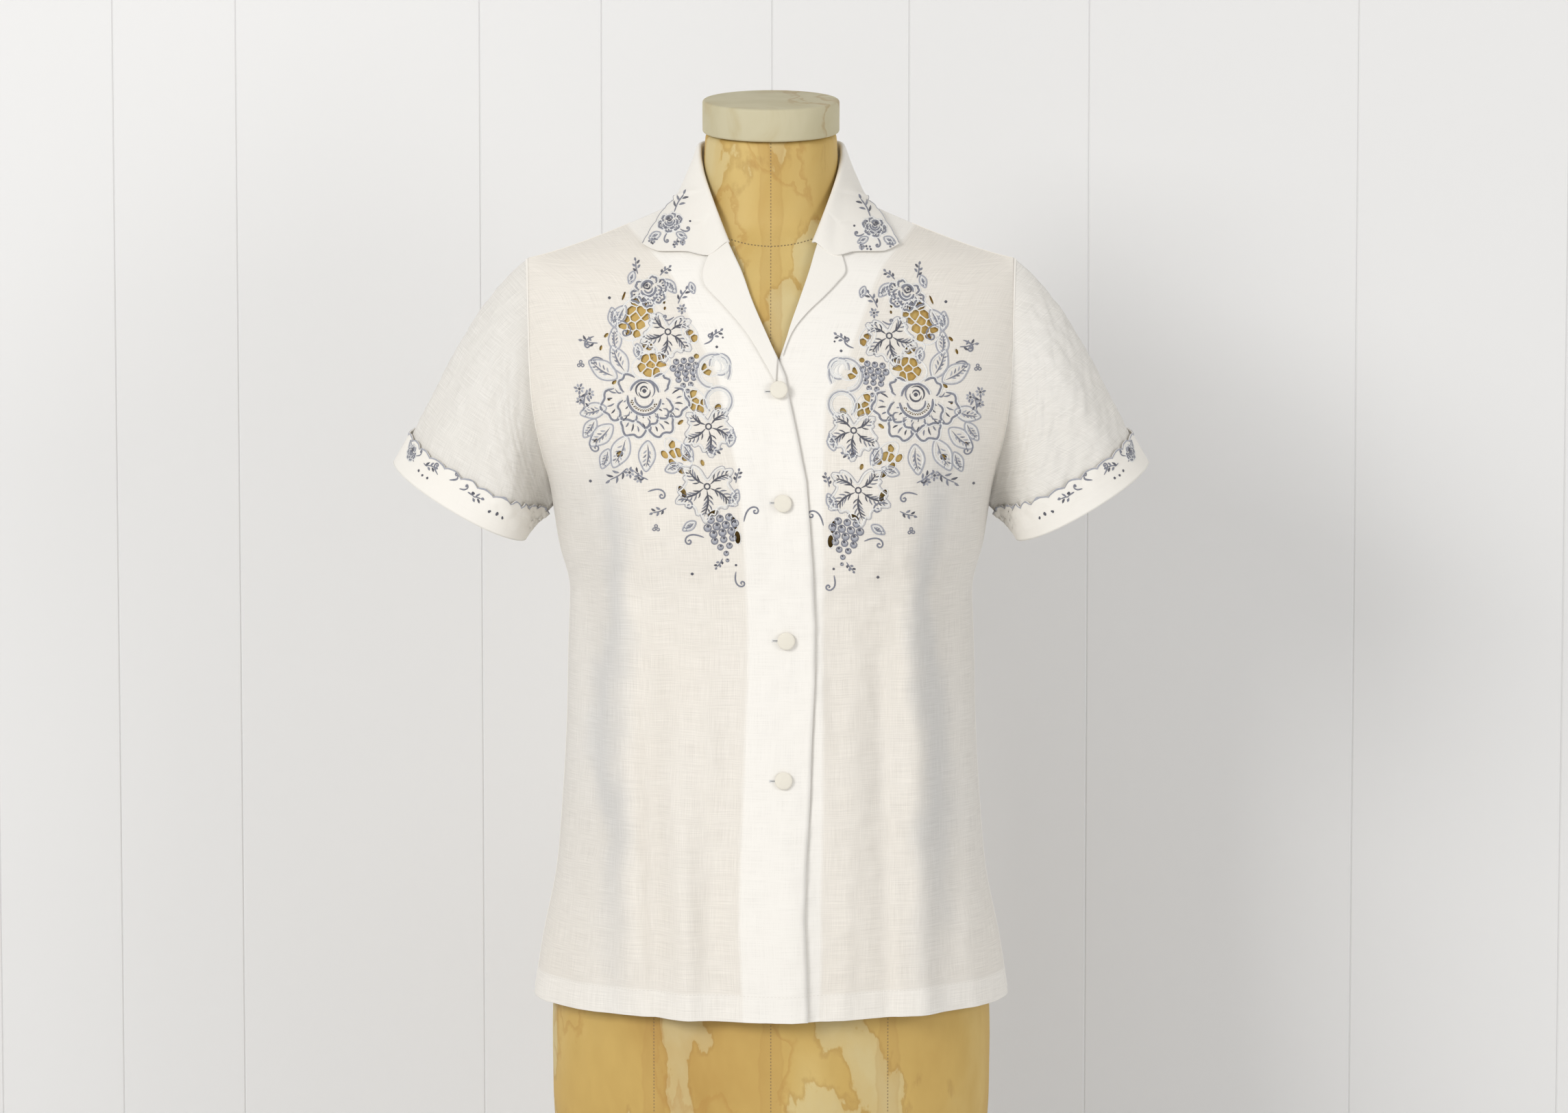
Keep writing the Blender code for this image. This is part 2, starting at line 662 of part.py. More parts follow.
def ring_loft(name, rings, collection, material):
    """A closed solid through rings of equal length, flat at both ends."""
    mesh = bmesh.new()
    loops = [[mesh.verts.new(point) for point in ring] for ring in rings]
    count = len(loops[0])
    for low, high in zip(loops, loops[1:]):
        for j in range(count):
            k = (j + 1) % count
            mesh.faces.new((low[j], low[k], high[k], high[j]))
    mesh.faces.new(loops[0][::-1])
    mesh.faces.new(loops[-1])
    bmesh.ops.recalc_face_normals(mesh, faces=mesh.faces)
    data = bpy.data.meshes.new(name)
    mesh.to_mesh(data)
    mesh.free()
    return add_object(name, data, collection, material)


def form_half(side, level, count):
    """Half a ring of the form: from one side to the other, front or back."""
    line = []
    lower = len(FORM_ROWS)
    for j in range(count + 1):
        around = -1.0 + 2.0 * j / count
        if level < lower:
            z, half, front, back = [value * MM for value in FORM_ROWS[level]]
            angle = around * math.pi / 2.0
            depth = front if side == "front" else back
            x, y = half * math.sin(angle), depth * max(0.0, math.cos(angle)) ** 0.92
            if side == "front":
                y = -(y + bust(x, z) * 0.92)
            line.append(Vector((x, y, z)))
            continue
        row = FORM_UPPER[level - lower]
        point = body_point(around, row, side)
        near_neck = smooth(row - 13.5) * (1.0 - smooth((abs(point.x) - 62 * MM) / (35 * MM)))
        point -= body_normal(around, row, side) * (FORM_GAP + FORM_NECK_GAP * near_neck)
        squeeze = 1.0 - FORM_ARMHOLE_INSET / (186 * MM) * smooth(abs(around) * 3.0 - 2.0)
        line.append(Vector((point.x * squeeze, point.y, point.z - 0.4 * MM)))
    return line


def form_torso(collection, cutters, material):
    half = FORM_SEGMENTS // 2
    levels = len(FORM_ROWS) + len(FORM_UPPER)
    mesh = bmesh.new()
    fronts, backs = [], []
    for level in range(levels):
        front = [mesh.verts.new(point) for point in form_half("front", level, half)]
        inner = form_half("back", level, half)
        if level < len(FORM_ROWS):
            back = [front[0]] + [mesh.verts.new(p) for p in inner[1:-1]] + [front[-1]]
        else:
            back = [mesh.verts.new(point) for point in inner]
        fronts.append(front)
        backs.append(back)
    for level in range(levels - 1):
        for j in range(half):
            mesh.faces.new((fronts[level][j], fronts[level][j + 1],
                            fronts[level + 1][j + 1], fronts[level + 1][j]))
            mesh.faces.new((backs[level][j + 1], backs[level][j],
                            backs[level + 1][j], backs[level + 1][j + 1]))
        for end in (0, half):
            corners = [fronts[level][end], fronts[level + 1][end],
                       backs[level + 1][end], backs[level][end]]
            unique = list(dict.fromkeys(corners))
            if len(unique) > 2:
                mesh.faces.new(unique)
    for j in range(half):
        mesh.faces.new((fronts[-1][j], fronts[-1][j + 1], backs[-1][j + 1], backs[-1][j]))
        bottom = [fronts[0][j + 1], fronts[0][j], backs[0][j], backs[0][j + 1]]
        mesh.faces.new(list(dict.fromkeys(bottom)))
    bmesh.ops.recalc_face_normals(mesh, faces=mesh.faces)
    data = bpy.data.meshes.new("form_torso")
    mesh.to_mesh(data)
    mesh.free()
    torso = add_object("form_torso", data, collection, material)
    rings = []
    for z, wide, deep, y in NECK_RINGS:
        ring = []
        for j in range(FORM_SEGMENTS):
            angle = 2.0 * math.pi * j / FORM_SEGMENTS
            x, dy = wide * math.cos(angle) * MM, deep * math.sin(angle)
            tilt = math.tan(CAP_TILT) * (z - 895.0) / (998.0 - 895.0)
            ring.append(Vector((x, (y + dy) * MM, (z + dy * tilt) * MM)))
        rings.append(ring)
    neck = ring_loft("form_neck_tool", rings, cutters, material)
    neck.hide_render = True
    neck.display_type = "WIRE"
    join = torso.modifiers.new("neck", "BOOLEAN")
    join.operation = "UNION"
    join.solver = "EXACT"
    join.object = neck
    return torso


def turned_disc(name, radius, thickness, edge, place, tilt, collection, material, segments):
    """A disc with rounded edges, its underside at the given place."""
    bpy.ops.mesh.primitive_cylinder_add(vertices=segments, radius=radius, depth=thickness)
    item = bpy.context.active_object
    turn = Vector((0.0, -math.sin(tilt), math.cos(tilt))).to_track_quat("Z", "X")
    matrix = turn.to_matrix().to_4x4()
    matrix.translation = place + (turn @ Vector((0.0, 0.0, thickness / 2.0)))
    item.data.transform(matrix)
    for owner in list(item.users_collection):
        owner.objects.unlink(item)
    collection.objects.link(item)
    item.name = name
    item.data.name = name
    item.data.materials.append(material)
    if edge > 0.0:
        bevel = item.modifiers.new("edge", "BEVEL")
        bevel.width = edge
        bevel.segments = 1
        bevel.limit_method = "ANGLE"
    return item


def main():
    clear_scene()
    part = new_collection(OBJECT_NAME)
    cutters = new_collection(OBJECT_NAME + "_cutters")

    right = sheet_object("front_right", front_grid(-1, LAP_EDGE, True), part,
                         new_material("linen_front_right", LINEN, 0.85), flip=True)
    left = sheet_object("front_left", front_grid(1, UNDER_EDGE, False), part,
                        new_material("linen_front_left", LINEN, 0.85))
    gaps = cut_outlines()
    cut_gaps(right, gaps, "cutwork_right", cutters)
    cut_gaps(left, [mirror_outline(gap) for gap in gaps], "cutwork_left", cutters)
    print("gaps cut through each front:", len(gaps))

    sheet_object("back", back_grid(), part, new_material("linen_back", LINEN, 0.85), flip=True)
    for name, sign in (("right", -1), ("left", 1)):
        linen = new_material("linen_sleeve_" + name, LINEN, 0.85)
        band = new_material("linen_cuff_" + name, FACING, 0.85)
        sheet_object("sleeve_" + name, mirrored(sleeve_grid(), sign), part, linen,
                     closed=True, flip=sign < 0)
        sheet_object("cuff_" + name, mirrored(cuff_grid(), sign), part, band,
                     closed=True, flip=sign < 0)

    sheet_object("collar", collar_grid(), part, new_material("linen_collar", FACING, 0.85),
                 flip=True)
    sheet_object("lapel_right", lapel_grid(LAPEL_RIGHT_ROLL, LAPEL_RIGHT_EDGE, True), part,
                 new_material("linen_lapel_right", FACING, 0.85), flip=True)
    sheet_object("lapel_left", lapel_grid(LAPEL_LEFT_ROLL, LAPEL_LEFT_EDGE, False), part,
                 new_material("linen_lapel_left", FACING, 0.85))

    covered = new_material("button_cloth", BUTTON_CLOTH, 0.7)
    for number, (x, z) in enumerate(BUTTONS, start=1):
        lift = CLOTH + LAY_GAP
        if number == 1:
            lift += CLOTH + LAY_GAP
        button_object("button_%d" % number, x * MM, z * MM, lift, part, covered)

    aged = new_material("aged_linen", AGED_LINEN, 0.8)
    iron = new_material("dark_iron", DARK_IRON, 0.5, 0.6)
    form_torso(part, cutters, aged)
    turned_disc("form_neck_cap", CAP_RADIUS, CAP_THICKNESS, CAP_EDGE, CAP_BASE, CAP_TILT,
                part, new_material("cap_paper", CAP_PAPER, 0.7), FORM_SEGMENTS)
    bottom = FORM_ROWS[0][0] * MM
    turned_disc("form_post", POST_RADIUS, bottom - BASE_THICKNESS - 0.6 * MM, 0.0,
                Vector((0.0, POST_Y, BASE_THICKNESS + 0.3 * MM)), 0.0, part, iron, 24)
    turned_disc("form_base", BASE_RADIUS, BASE_THICKNESS, BASE_EDGE,
                Vector((0.0, POST_Y, 0.0)), 0.0, part, iron, FORM_SEGMENTS)


main()
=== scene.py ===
# %% [markdown]
# # An embroidered blouse on a dress form
# The real piece is a short-sleeved blouse of fine plain-weave linen, with grey-blue
# embroidery and open cutwork on both fronts. It hangs on an old limbless dress form.
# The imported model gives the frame: every place below is in metres in that frame, the
# front faces -Y and the wearer's right is -X.

# %% The frame and the working units
import math

import bmesh
import bpy
import numpy as np
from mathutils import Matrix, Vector
from mathutils.bvhtree import BVHTree


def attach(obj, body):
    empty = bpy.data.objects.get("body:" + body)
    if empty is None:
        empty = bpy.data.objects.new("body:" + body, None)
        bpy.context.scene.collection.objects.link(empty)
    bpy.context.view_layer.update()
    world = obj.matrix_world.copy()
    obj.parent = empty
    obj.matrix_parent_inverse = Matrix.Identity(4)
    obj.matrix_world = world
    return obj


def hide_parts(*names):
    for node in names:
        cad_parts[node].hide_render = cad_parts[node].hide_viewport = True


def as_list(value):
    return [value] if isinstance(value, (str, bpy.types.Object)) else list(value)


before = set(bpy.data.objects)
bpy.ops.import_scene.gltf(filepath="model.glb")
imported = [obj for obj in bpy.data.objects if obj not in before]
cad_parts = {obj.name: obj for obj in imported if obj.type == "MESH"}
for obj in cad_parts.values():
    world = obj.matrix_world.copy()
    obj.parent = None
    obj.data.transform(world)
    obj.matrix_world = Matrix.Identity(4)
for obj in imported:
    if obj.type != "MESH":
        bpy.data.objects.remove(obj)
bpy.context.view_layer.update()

MM = 0.001


def deselect():
    if bpy.context.object and bpy.context.object.mode != "OBJECT":
        bpy.ops.object.mode_set(mode="OBJECT")
    bpy.ops.object.select_all(action="DESELECT")


def apply_modifier(piece, kind, **settings):
    """Add a modifier to the active piece, set it and apply it."""
    modifier = piece.modifiers.new(kind.lower(), kind)
    for name, value in settings.items():
        setattr(modifier, name, value)
    bpy.ops.object.modifier_apply(modifier=modifier.name)


deselect()

# %% [markdown]
# ## Camera, floor and light
# The photograph looks a few degrees down from about chest height. The frame is 1.2 m wide
# at the point that the camera looks at, and a long lens from 3.5 m keeps the perspective as
# flat as it is in the photograph.

# %% Camera
VIEW_DISTANCE = 3.5
VIEW_WIDTH = 1.2
VIEW_TILT = math.radians(4.5)
VIEW_CENTRE = Vector((0.010, -0.05, 0.674))
SENSOR = 36.0

camera_data = bpy.data.cameras.new("camera")
camera_data.sensor_width = SENSOR
camera_data.lens = SENSOR * VIEW_DISTANCE / VIEW_WIDTH
camera = bpy.data.objects.new("camera", camera_data)
bpy.context.scene.collection.objects.link(camera)
away = Vector((0.0, -math.cos(VIEW_TILT), math.sin(VIEW_TILT)))
camera.location = VIEW_CENTRE + away * VIEW_DISTANCE
camera.rotation_euler = (math.pi / 2.0 - VIEW_TILT, 0.0, 0.0)
bpy.context.scene.camera = camera
print("lens in mm:", round(camera_data.lens, 1))

# %% Floor, backdrop and soft studio light
WALL_WHITE = (0.80, 0.795, 0.788)
FLOOR_SIZE = 9.0
BACKDROP_Y = 0.42
BACKDROP_HEIGHT = 2.4
BOARD_THICKNESS, BOARD_GAP, BOARD_EDGE = 0.02, 0.2 * MM, 0.9 * MM
SKY_COLOUR, SKY_STRENGTH = (1.0, 0.995, 0.988), 0.54
LIGHT_AIM = Vector((0.0, 0.0, 0.7))
# Soft boxes: name, place, side length, power in watts, colour
LIGHTS = (("window_light", (-1.9, -2.6, 1.9), 1.2, 58.0, (1.0, 0.998, 0.992)),
          ("fill_light", (2.4, -2.2, 1.2), 1.4, 24.0, (0.99, 0.995, 1.0)))
BOARD_EDGES = (-1.9, -1.35, -1.02, -0.674, -0.568, -0.462, -0.252, -0.147, 0.0, 0.118, 0.273,
               0.505, 0.687, 1.02, 1.35, 1.9)


def plain_paint(name, colour):
    """A pale paint with a very faint mottle."""
    material = bpy.data.materials.new(name)
    material.use_nodes = True
    nodes, links = material.node_tree.nodes, material.node_tree.links
    shader = nodes["Principled BSDF"]
    place = nodes.new("ShaderNodeTexCoord")
    mottle = nodes.new("ShaderNodeTexNoise")
    mottle.inputs["Scale"].default_value = 1.5
    tint = nodes.new("ShaderNodeValToRGB")
    tint.color_ramp.elements[0].color = (*[c * 0.97 for c in colour], 1.0)
    tint.color_ramp.elements[1].color = (*colour, 1.0)
    links.new(place.outputs["Object"], mottle.inputs["Vector"])
    links.new(mottle.outputs["Fac"], tint.inputs["Fac"])
    links.new(tint.outputs["Color"], shader.inputs["Base Color"])
    shader.inputs["Roughness"].default_value = 0.9
    return material


bpy.ops.mesh.primitive_plane_add(size=FLOOR_SIZE, location=(0.0, 0.0, 0.0))
floor = bpy.context.object
floor.name = "studio_floor"
floor.data.materials.append(plain_paint("floor_paint", WALL_WHITE))
deselect()

# The boards are painted on their front only, so a view from behind looks past them.
wall_paint = plain_paint("wall_paint", WALL_WHITE)
nodes, links = wall_paint.node_tree.nodes, wall_paint.node_tree.links
clear, share = nodes.new("ShaderNodeBsdfTransparent"), nodes.new("ShaderNodeMixShader")
links.new(nodes.new("ShaderNodeNewGeometry").outputs["Backfacing"], share.inputs[0])
links.new(nodes["Principled BSDF"].outputs[0], share.inputs[1])
links.new(clear.outputs[0], share.inputs[2])
links.new(share.outputs[0], nodes["Material Output"].inputs["Surface"])
for number, (left, right) in enumerate(zip(BOARD_EDGES, BOARD_EDGES[1:]), start=1):
    bpy.ops.mesh.primitive_cube_add(size=1.0)
    board = bpy.context.object
    board.name = "backdrop_board_%02d" % number
    for vertex in board.data.vertices:
        vertex.co = ((left + right) / 2.0 + vertex.co.x * (right - left - BOARD_GAP),
                     BACKDROP_Y + 0.01 + vertex.co.y * BOARD_THICKNESS,
                     (vertex.co.z + 0.5) * BACKDROP_HEIGHT)
    apply_modifier(board, "BEVEL", width=BOARD_EDGE, segments=1)
    mesh = bmesh.new()
    mesh.from_mesh(board.data)
    bmesh.ops.delete(mesh, geom=[f for f in mesh.faces if f.normal.y > -0.5], context="FACES")
    mesh.to_mesh(board.data)
    mesh.free()
    board.data.materials.append(wall_paint)
deselect()

world = bpy.data.worlds.new("studio")
world.use_nodes = True
sky = world.node_tree.nodes["Background"].inputs
sky["Color"].default_value = (*SKY_COLOUR, 1.0)
sky["Strength"].default_value = SKY_STRENGTH
bpy.context.scene.world = world

for name, place, side, power, colour in LIGHTS:
    data = bpy.data.lights.new(name, "AREA")
    data.shape = "RECTANGLE"
    data.size = data.size_y = side
    data.energy = power
    data.color = colour
    lamp = bpy.data.objects.new(name, data)
    lamp.location = place
    lamp.rotation_euler = (LIGHT_AIM - Vector(place)).to_track_quat("-Z", "Y").to_euler()
    bpy.context.scene.collection.objects.link(lamp)
bpy.context.scene.view_settings.view_transform = "Standard"

# %% [markdown]
# ## The worn shape
# A blouse on a form is a closed skin. Row by row, from the hem to the shoulder seam,
# a short table says how wide and how deep that skin is, and a smooth curve joins the
# rows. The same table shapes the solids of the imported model, so every visible piece
# below lies where its solid does, only with many more points.

# %% Tables of the body
BODY_COLUMNS = ("z_front", "z_side", "z_back", "half_width", "front", "back",
                "edge_front", "edge_back", "rise_back", "spread")
BODY_ROWS = np.array((
    (327, 330, 330, 184.0, 127, 118, 0, 0, 0, 90),
    (375, 377, 377, 176.5, 127, 117, 0, 0, 0, 90),
    (425, 426, 426, 166.5, 124, 112, 0, 0, 0, 90),
    (480, 480, 480, 161.5, 120, 106, 0, 0, 0, 90),
    (540, 540, 540, 158.0, 116, 102, 0, 0, 0, 90),
    (600, 600, 600, 156.5, 114, 100, 0, 0, 0, 90),
    (645, 645, 645, 155.0, 114, 100, 0, 0, 0, 90),
    (682, 681, 681, 163.0, 116, 101, 0, 0, 0, 90),
    (715, 713, 715, 168.0, 118, 103, 0, 0, 0, 90),
    (745, 741, 745, 173.0, 119, 106, 17, 18, 0, 84),
    (775, 768, 775, 179.0, 117, 108, 30, 31, 0, 76),
    (805, 797, 805, 183.0, 112, 109, 35, 38, 0, 70),
    (835, 824, 835, 184.5, 104, 108, 34, 38, 1, 66),
    (864, 847, 866, 185.0, 93, 104, 30, 33, 2, 63),
    (892, 866, 896, 185.5, 80, 97, 25, 26, 4, 61),
    (921, 882, 926, 186.0, 65, 86, 19, 16, 6, 60),
    (951, 893.5, 958, 186.5, 42, 62, 13, 4, 6, 60),
    (980, 901, 980, 187.0, 8, -8, 8, -8, 0, 60),
), dtype=float)
UNDERARM_ROW = 8
SHOULDER_ROW = len(BODY_ROWS) - 1
BUST = (84 * MM, 716 * MM)
BUST_SPREAD = (44 * MM, 47 * MM)
BUST_DEPTH = 15 * MM
HEM_WAVES = 7
HEM_WAVE_DEPTH = 2.4 * MM
HEM_WAVE_TOP = 640 * MM
# How full the body's oval is, and how its rows climb from the side to the middle
BOW_POWER, CLIMB_POWER = 0.92, 1.25
# The solid's wall and its gap to what lies on it, the lap's lift, and the finished walls
CLOTH, LAY_GAP, LAP_LIFT = 1.2 * MM, 0.35 * MM, 2.5 * MM
WALL, DOUBLED_WALL, MIDDLE_OF_WALL = 0.5 * MM, 0.8 * MM, 0.6 * MM


def smooth(t):
    t = np.clip(t, 0.0, 1.0)
    return t * t * (3.0 - 2.0 * t)


def curve_value(rows, at):
    """Each column of a table at fractional rows, on a curve that never overshoots."""
    rows = np.asarray(rows, dtype=float)
    steps = np.diff(rows, axis=0)
    lean = np.zeros_like(rows)
    lean[1:-1] = np.where(steps[:-1] * steps[1:] > 0, (steps[:-1] + steps[1:]) / 2.0, 0.0)
    at = np.clip(np.asarray(at, dtype=float), 0.0, len(rows) - 1.0)
    start = np.minimum(at.astype(int), len(rows) - 2)
    t = (at - start)[..., None]
    return ((2 * t**3 - 3 * t**2 + 1) * rows[start] + (t**3 - 2 * t**2 + t) * lean[start]
            + (3 * t**2 - 2 * t**3) * rows[start + 1] + (t**3 - t**2) * lean[start + 1])


def body_row(row):
    values = curve_value(BODY_ROWS, row)
    return {name: values[..., i] * (1.0 if name == "spread" else MM)
            for i, name in enumerate(BODY_COLUMNS)}


def body_point(around, row, side):
    """Inner face of the cloth; around runs from -1 to 1 across the front or the back."""
    around, row = np.broadcast_arrays(np.asarray(around, float), np.asarray(row, float))
    size = body_row(row)
    spread = np.radians(size["spread"])
    half, angle = size["half_width"], around * spread
    x = half * np.sin(angle) / np.sin(spread)
    bow = np.maximum((np.cos(angle) - np.cos(spread)) / (1.0 - np.cos(spread)), 0.0)
    climb = np.maximum(0.0, 1.004 - np.sqrt((x / half) ** 2 + 0.008)) ** CLIMB_POWER
    if side == "front":
        y = -(size["edge_front"] + (size["front"] - size["edge_front"]) * bow ** BOW_POWER)
        z = size["z_side"] + (size["z_front"] - size["z_side"]) * climb
        y = y - bust(x, z) - hem_wave(around, z) * bow
    else:
        y = size["edge_back"] + (size["back"] - size["edge_back"]) * bow ** BOW_POWER
        z = size["z_side"] + (size["z_back"] - size["z_side"]) * climb
        z = z + size["rise_back"] * np.sin(np.pi * np.minimum(1.0, np.abs(around) * 0.5 + 0.5))
        y = y + hem_wave(around + 0.13, z) * bow
    return np.stack([x, y, z], axis=-1)


def bust(x, z):
    near = ((np.abs(x) - BUST[0]) / BUST_SPREAD[0]) ** 2 + ((z - BUST[1]) / BUST_SPREAD[1]) ** 2
    return BUST_DEPTH * np.exp(-near / 2.0)


def hem_wave(around, z):
    rest = smooth((HEM_WAVE_TOP - z) / (HEM_WAVE_TOP - BODY_ROWS[0][0] * MM))
    calm = smooth(np.abs(around) * 4.0)
    return HEM_WAVE_DEPTH * rest * calm * np.sin(around * HEM_WAVES * np.pi * 0.93 + 0.6)


def run_along(line):
    """How far along a line each of its points lies."""
    steps = np.linalg.norm(np.diff(line, axis=0), axis=-1)
    return np.concatenate([np.zeros((1, *steps.shape[1:])), np.cumsum(steps, axis=0)])


def turned(u, w, x, z, degrees):
    """A point u along and w across, turned about its middle and moved to x and z."""
    c, s = math.cos(math.radians(degrees)), math.sin(math.radians(degrees))
    return x + u * c - w * s, z + u * s + w * c


def unit(v):
    return v / np.maximum(np.linalg.norm(v, axis=-1, keepdims=True), 1e-12)


def grid_normals(points, wrap=False):
    """Unit normals of a grid of points, rows by columns."""
    if wrap:
        across = np.roll(points, -1, axis=1) - np.roll(points, 1, axis=1)
    else:
        across = np.gradient(points, axis=1)
    return unit(np.cross(across, np.gradient(points, axis=0)))


# %% How soft cloth falls from the shape
# Long folds, in mm: x and height of the upper end, of the lower end, half width, how tall
FOLDS = {"front": ((-118, 712, -106, 372, 13, 3.0), (-142, 742, -133, 470, 12, -3.4),
                   (-72, 650, -64, 322, 12, 1.9), (-94, 610, -86, 322, 9, -1.7),
                   (104, 708, 119, 330, 12, 3.0), (133, 735, 142, 420, 11, -3.0),
                   (80, 650, 88, 322, 9, -1.7), (60, 620, 55, 322, 12, 1.6),
                   (-58, 660, -40, 480, 8, 1.3), (-32, 585, -46, 400, 9, -1.1),
                   (30, 660, 44, 470, 9, 1.2), (-84, 560, -62, 380, 10, 1.1),
                   (12, 520, 16, 322, 14, 1.2)),
         "back": ((-62, 650, -74, 322, 16, 2.6), (-104, 700, -112, 360, 13, -2.2),
                  (0, 700, 5, 322, 14, -1.8), (66, 670, 74, 322, 15, 2.6),
                  (110, 690, 116, 360, 12, -2.0))}
FOLD_DEPTH = 2.5
# Below this height the cloth hangs free of the form, and its creases grow over this length
FREE_BELOW, FREE_OVER = 835 * MM, 120 * MM
CREASES = 22
CREASE_HEIGHT = 0.70 * MM
HEM_PUCKER, PUCKER_FADE = 0.42 * MM, 17 * MM
CREASE_SEED = 11


def creases(x, z, seed=CREASE_SEED):
    """Faint creases of washed linen: many small waves in all directions."""
    chance = np.random.default_rng(seed)
    out = np.zeros(np.broadcast(x, z).shape)
    for _ in range(CREASES):
        angle, length = chance.uniform(0.0, np.pi), chance.uniform(24.0, 85.0) * MM
        phase, tall = chance.uniform(0.0, 2.0 * np.pi), chance.uniform(0.3, 1.0)
        bent = 6 * MM * np.sin((x * np.sin(angle) - z * np.cos(angle)) / (31 * MM) + phase)
        wave = np.sin(2.0 * np.pi * (x * np.cos(angle) + z * np.sin(angle) + bent) / length + phase)
        out += tall * (1.0 - np.abs(wave)) ** 1.5
    return out * CREASE_HEIGHT / 2.0


def drape(points, side, hem_length):
    """Move a sheet in or out by its long folds, its creases and the puckers of its hem."""
    x, z = points[..., 0], points[..., 2]
    out = np.zeros(x.shape)
    for x_high, z_high, x_low, z_low, width, tall in FOLDS[side]:
        share = np.clip((z_high * MM - z) / ((z_high - z_low) * MM), 0.0, 1.0)
        line = (x_high + (x_low - x_high) * share) * MM
        grow = smooth((z_high * MM - z) / (110 * MM)) * smooth((z - (z_low - 60) * MM) / (70 * MM))
        out += FOLD_DEPTH * tall * MM * grow * np.exp(-((x - line) / (width * MM)) ** 2)
    free = smooth((FREE_BELOW - z) / FREE_OVER)
    out += (creases(x, z) - 1.6 * CREASE_HEIGHT) * (0.12 + 0.88 * free)
    near_hem = np.exp(-hem_length / PUCKER_FADE)
    out += HEM_PUCKER * near_hem * (np.sin(x / (2.1 * MM) * 0.9 + 3.0 * np.sin(x / (37 * MM)))
                                    * (0.5 + 0.5 * np.sin(x / (23 * MM))))
    move = np.zeros_like(points)
    move[..., 1] = out * (-1.0 if side == "front" else 1.0)
    return points + move


print("height of the blouse in mm:", BODY_ROWS[-1][1] - BODY_ROWS[0][1])

# %% [markdown]
# ## Turning a grid into cloth
# Blender's grid primitive is a flat sheet of squares. It is added once per piece, its
# points are moved onto the worn shape, and its own map is kept in real metres, so that
# weave, hems and stitch lines keep their true size on every piece.

# %% Grid to cloth
def set_map(mesh, flat):
    """Give a mesh's corners the flat place of the points that they meet at."""
    corner = np.empty(len(mesh.loops), dtype=np.int32)
    mesh.loops.foreach_get("vertex_index", corner)
    if not mesh.uv_layers:
        mesh.uv_layers.new(name="cut")
    mesh.uv_layers[0].data.foreach_set("uv", flat[corner].astype(np.float32).reshape(-1))
    mesh.uv_layers[0].name = "cut"


def new_grid(name, points):
    """The grid primitive, with its points moved to the given ones."""
    rows, columns = points.shape[:2]
    deselect()
    bpy.ops.mesh.primitive_grid_add(x_subdivisions=columns - 1, y_subdivisions=rows - 1, size=1.0)
    piece = bpy.context.object
    piece.name = piece.data.name = name
    piece.data.vertices.foreach_set("co", points.reshape(-1))
    return piece


def cloth_grid(name, points, thick, wrap=False):
    """A cloth piece on a grid of points; the map is metres across and metres up."""
    if wrap:
        points = np.concatenate([points, points[:, :1]], axis=1)
    piece = new_grid(name, points)
    mesh = piece.data
    across, up = run_along(points.swapaxes(0, 1)).T, run_along(points)
    set_map(mesh, np.stack([across, up], axis=-1).reshape(-1, 2))
    mesh.update()
    if wrap:
        bpy.ops.object.mode_set(mode="EDIT")
        bpy.ops.mesh.select_all(action="SELECT")
        bpy.ops.mesh.remove_doubles(threshold=0.01 * MM)
        bpy.ops.object.mode_set(mode="OBJECT")
    size = (float(across[:, -1].max()), float(up[-1].max()))
    area = sum(face.area for face in mesh.polygons)
    apply_modifier(piece, "SOLIDIFY", thickness=thick, offset=0.0)
    bpy.ops.object.shade_smooth()
    return piece, size, area


def settle(piece, slot, node=None, body="root"):
    """Ride on the one body and stand for a node; the slot is not used."""
    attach(piece, body)
    if node:
        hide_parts(node)
    return piece


cloth, sheets, trees, grids = {}, {}, {}, {}


def make_sheet(name, points, slot, thick, wrap=False, cuts=()):
    """Build one cloth piece, cut it, and keep its cut size and its area before the cuts."""
    piece, size, area = cloth_grid(name + "_linen", points, thick, wrap)
    for outlines in cuts:
        cut_through(piece, outlines, trees[name])
        print(name, "faces after the cuts:", len(piece.data.polygons))
    cloth[name], sheets[name] = piece, (size, area)
    settle(piece, slot, name)
    print(name, "flat size in mm:", [round(s / MM) for s in size])


print("walls of one layer and of doubled cloth in mm:", WALL / MM, DOUBLED_WALL / MM)

# %% [markdown]
# ## The fronts, with their cutwork
# Each front is one cut piece from the hem to the shoulder seam. The wearer's right front
# laps over and carries the buttonholes. The open work is cut out of the cloth after the
# outlines are stitched, so here too the holes go through the finished piece: nets of
# small cells with bars of cloth between them, and single slits.

# %% Tables of the fronts and of the cutwork
# The two inner edges and the button places, in mm: height and x, and x and height
LAP_EDGE = ((322, 28), (368, 27), (403, 25.5), (446, 26.5), (490, 29), (541, 30.6),
            (583, 32.7), (624, 33.2), (671, 31.6), (704, 29.5), (736, 27), (770, 20),
            (795, 14.5), (814, 11), (828, 5), (850, -6.1), (871, -14.8), (892, -22.3),
            (905, -30), (914, -38), (932, -52), (950, -66), (990, -66))
UNDER_EDGE = ((322, -12), (600, -11), (770, -11), (800, -9), (815, 0), (827, 6.5),
              (850, 14.4), (871, 22), (891, 29), (905, 35), (914, 41), (932, 54),
              (950, 66), (990, 66))
BUTTONS = ((6.2, 803), (9.8, 720), (11.5, 615.7), (9.6, 510))

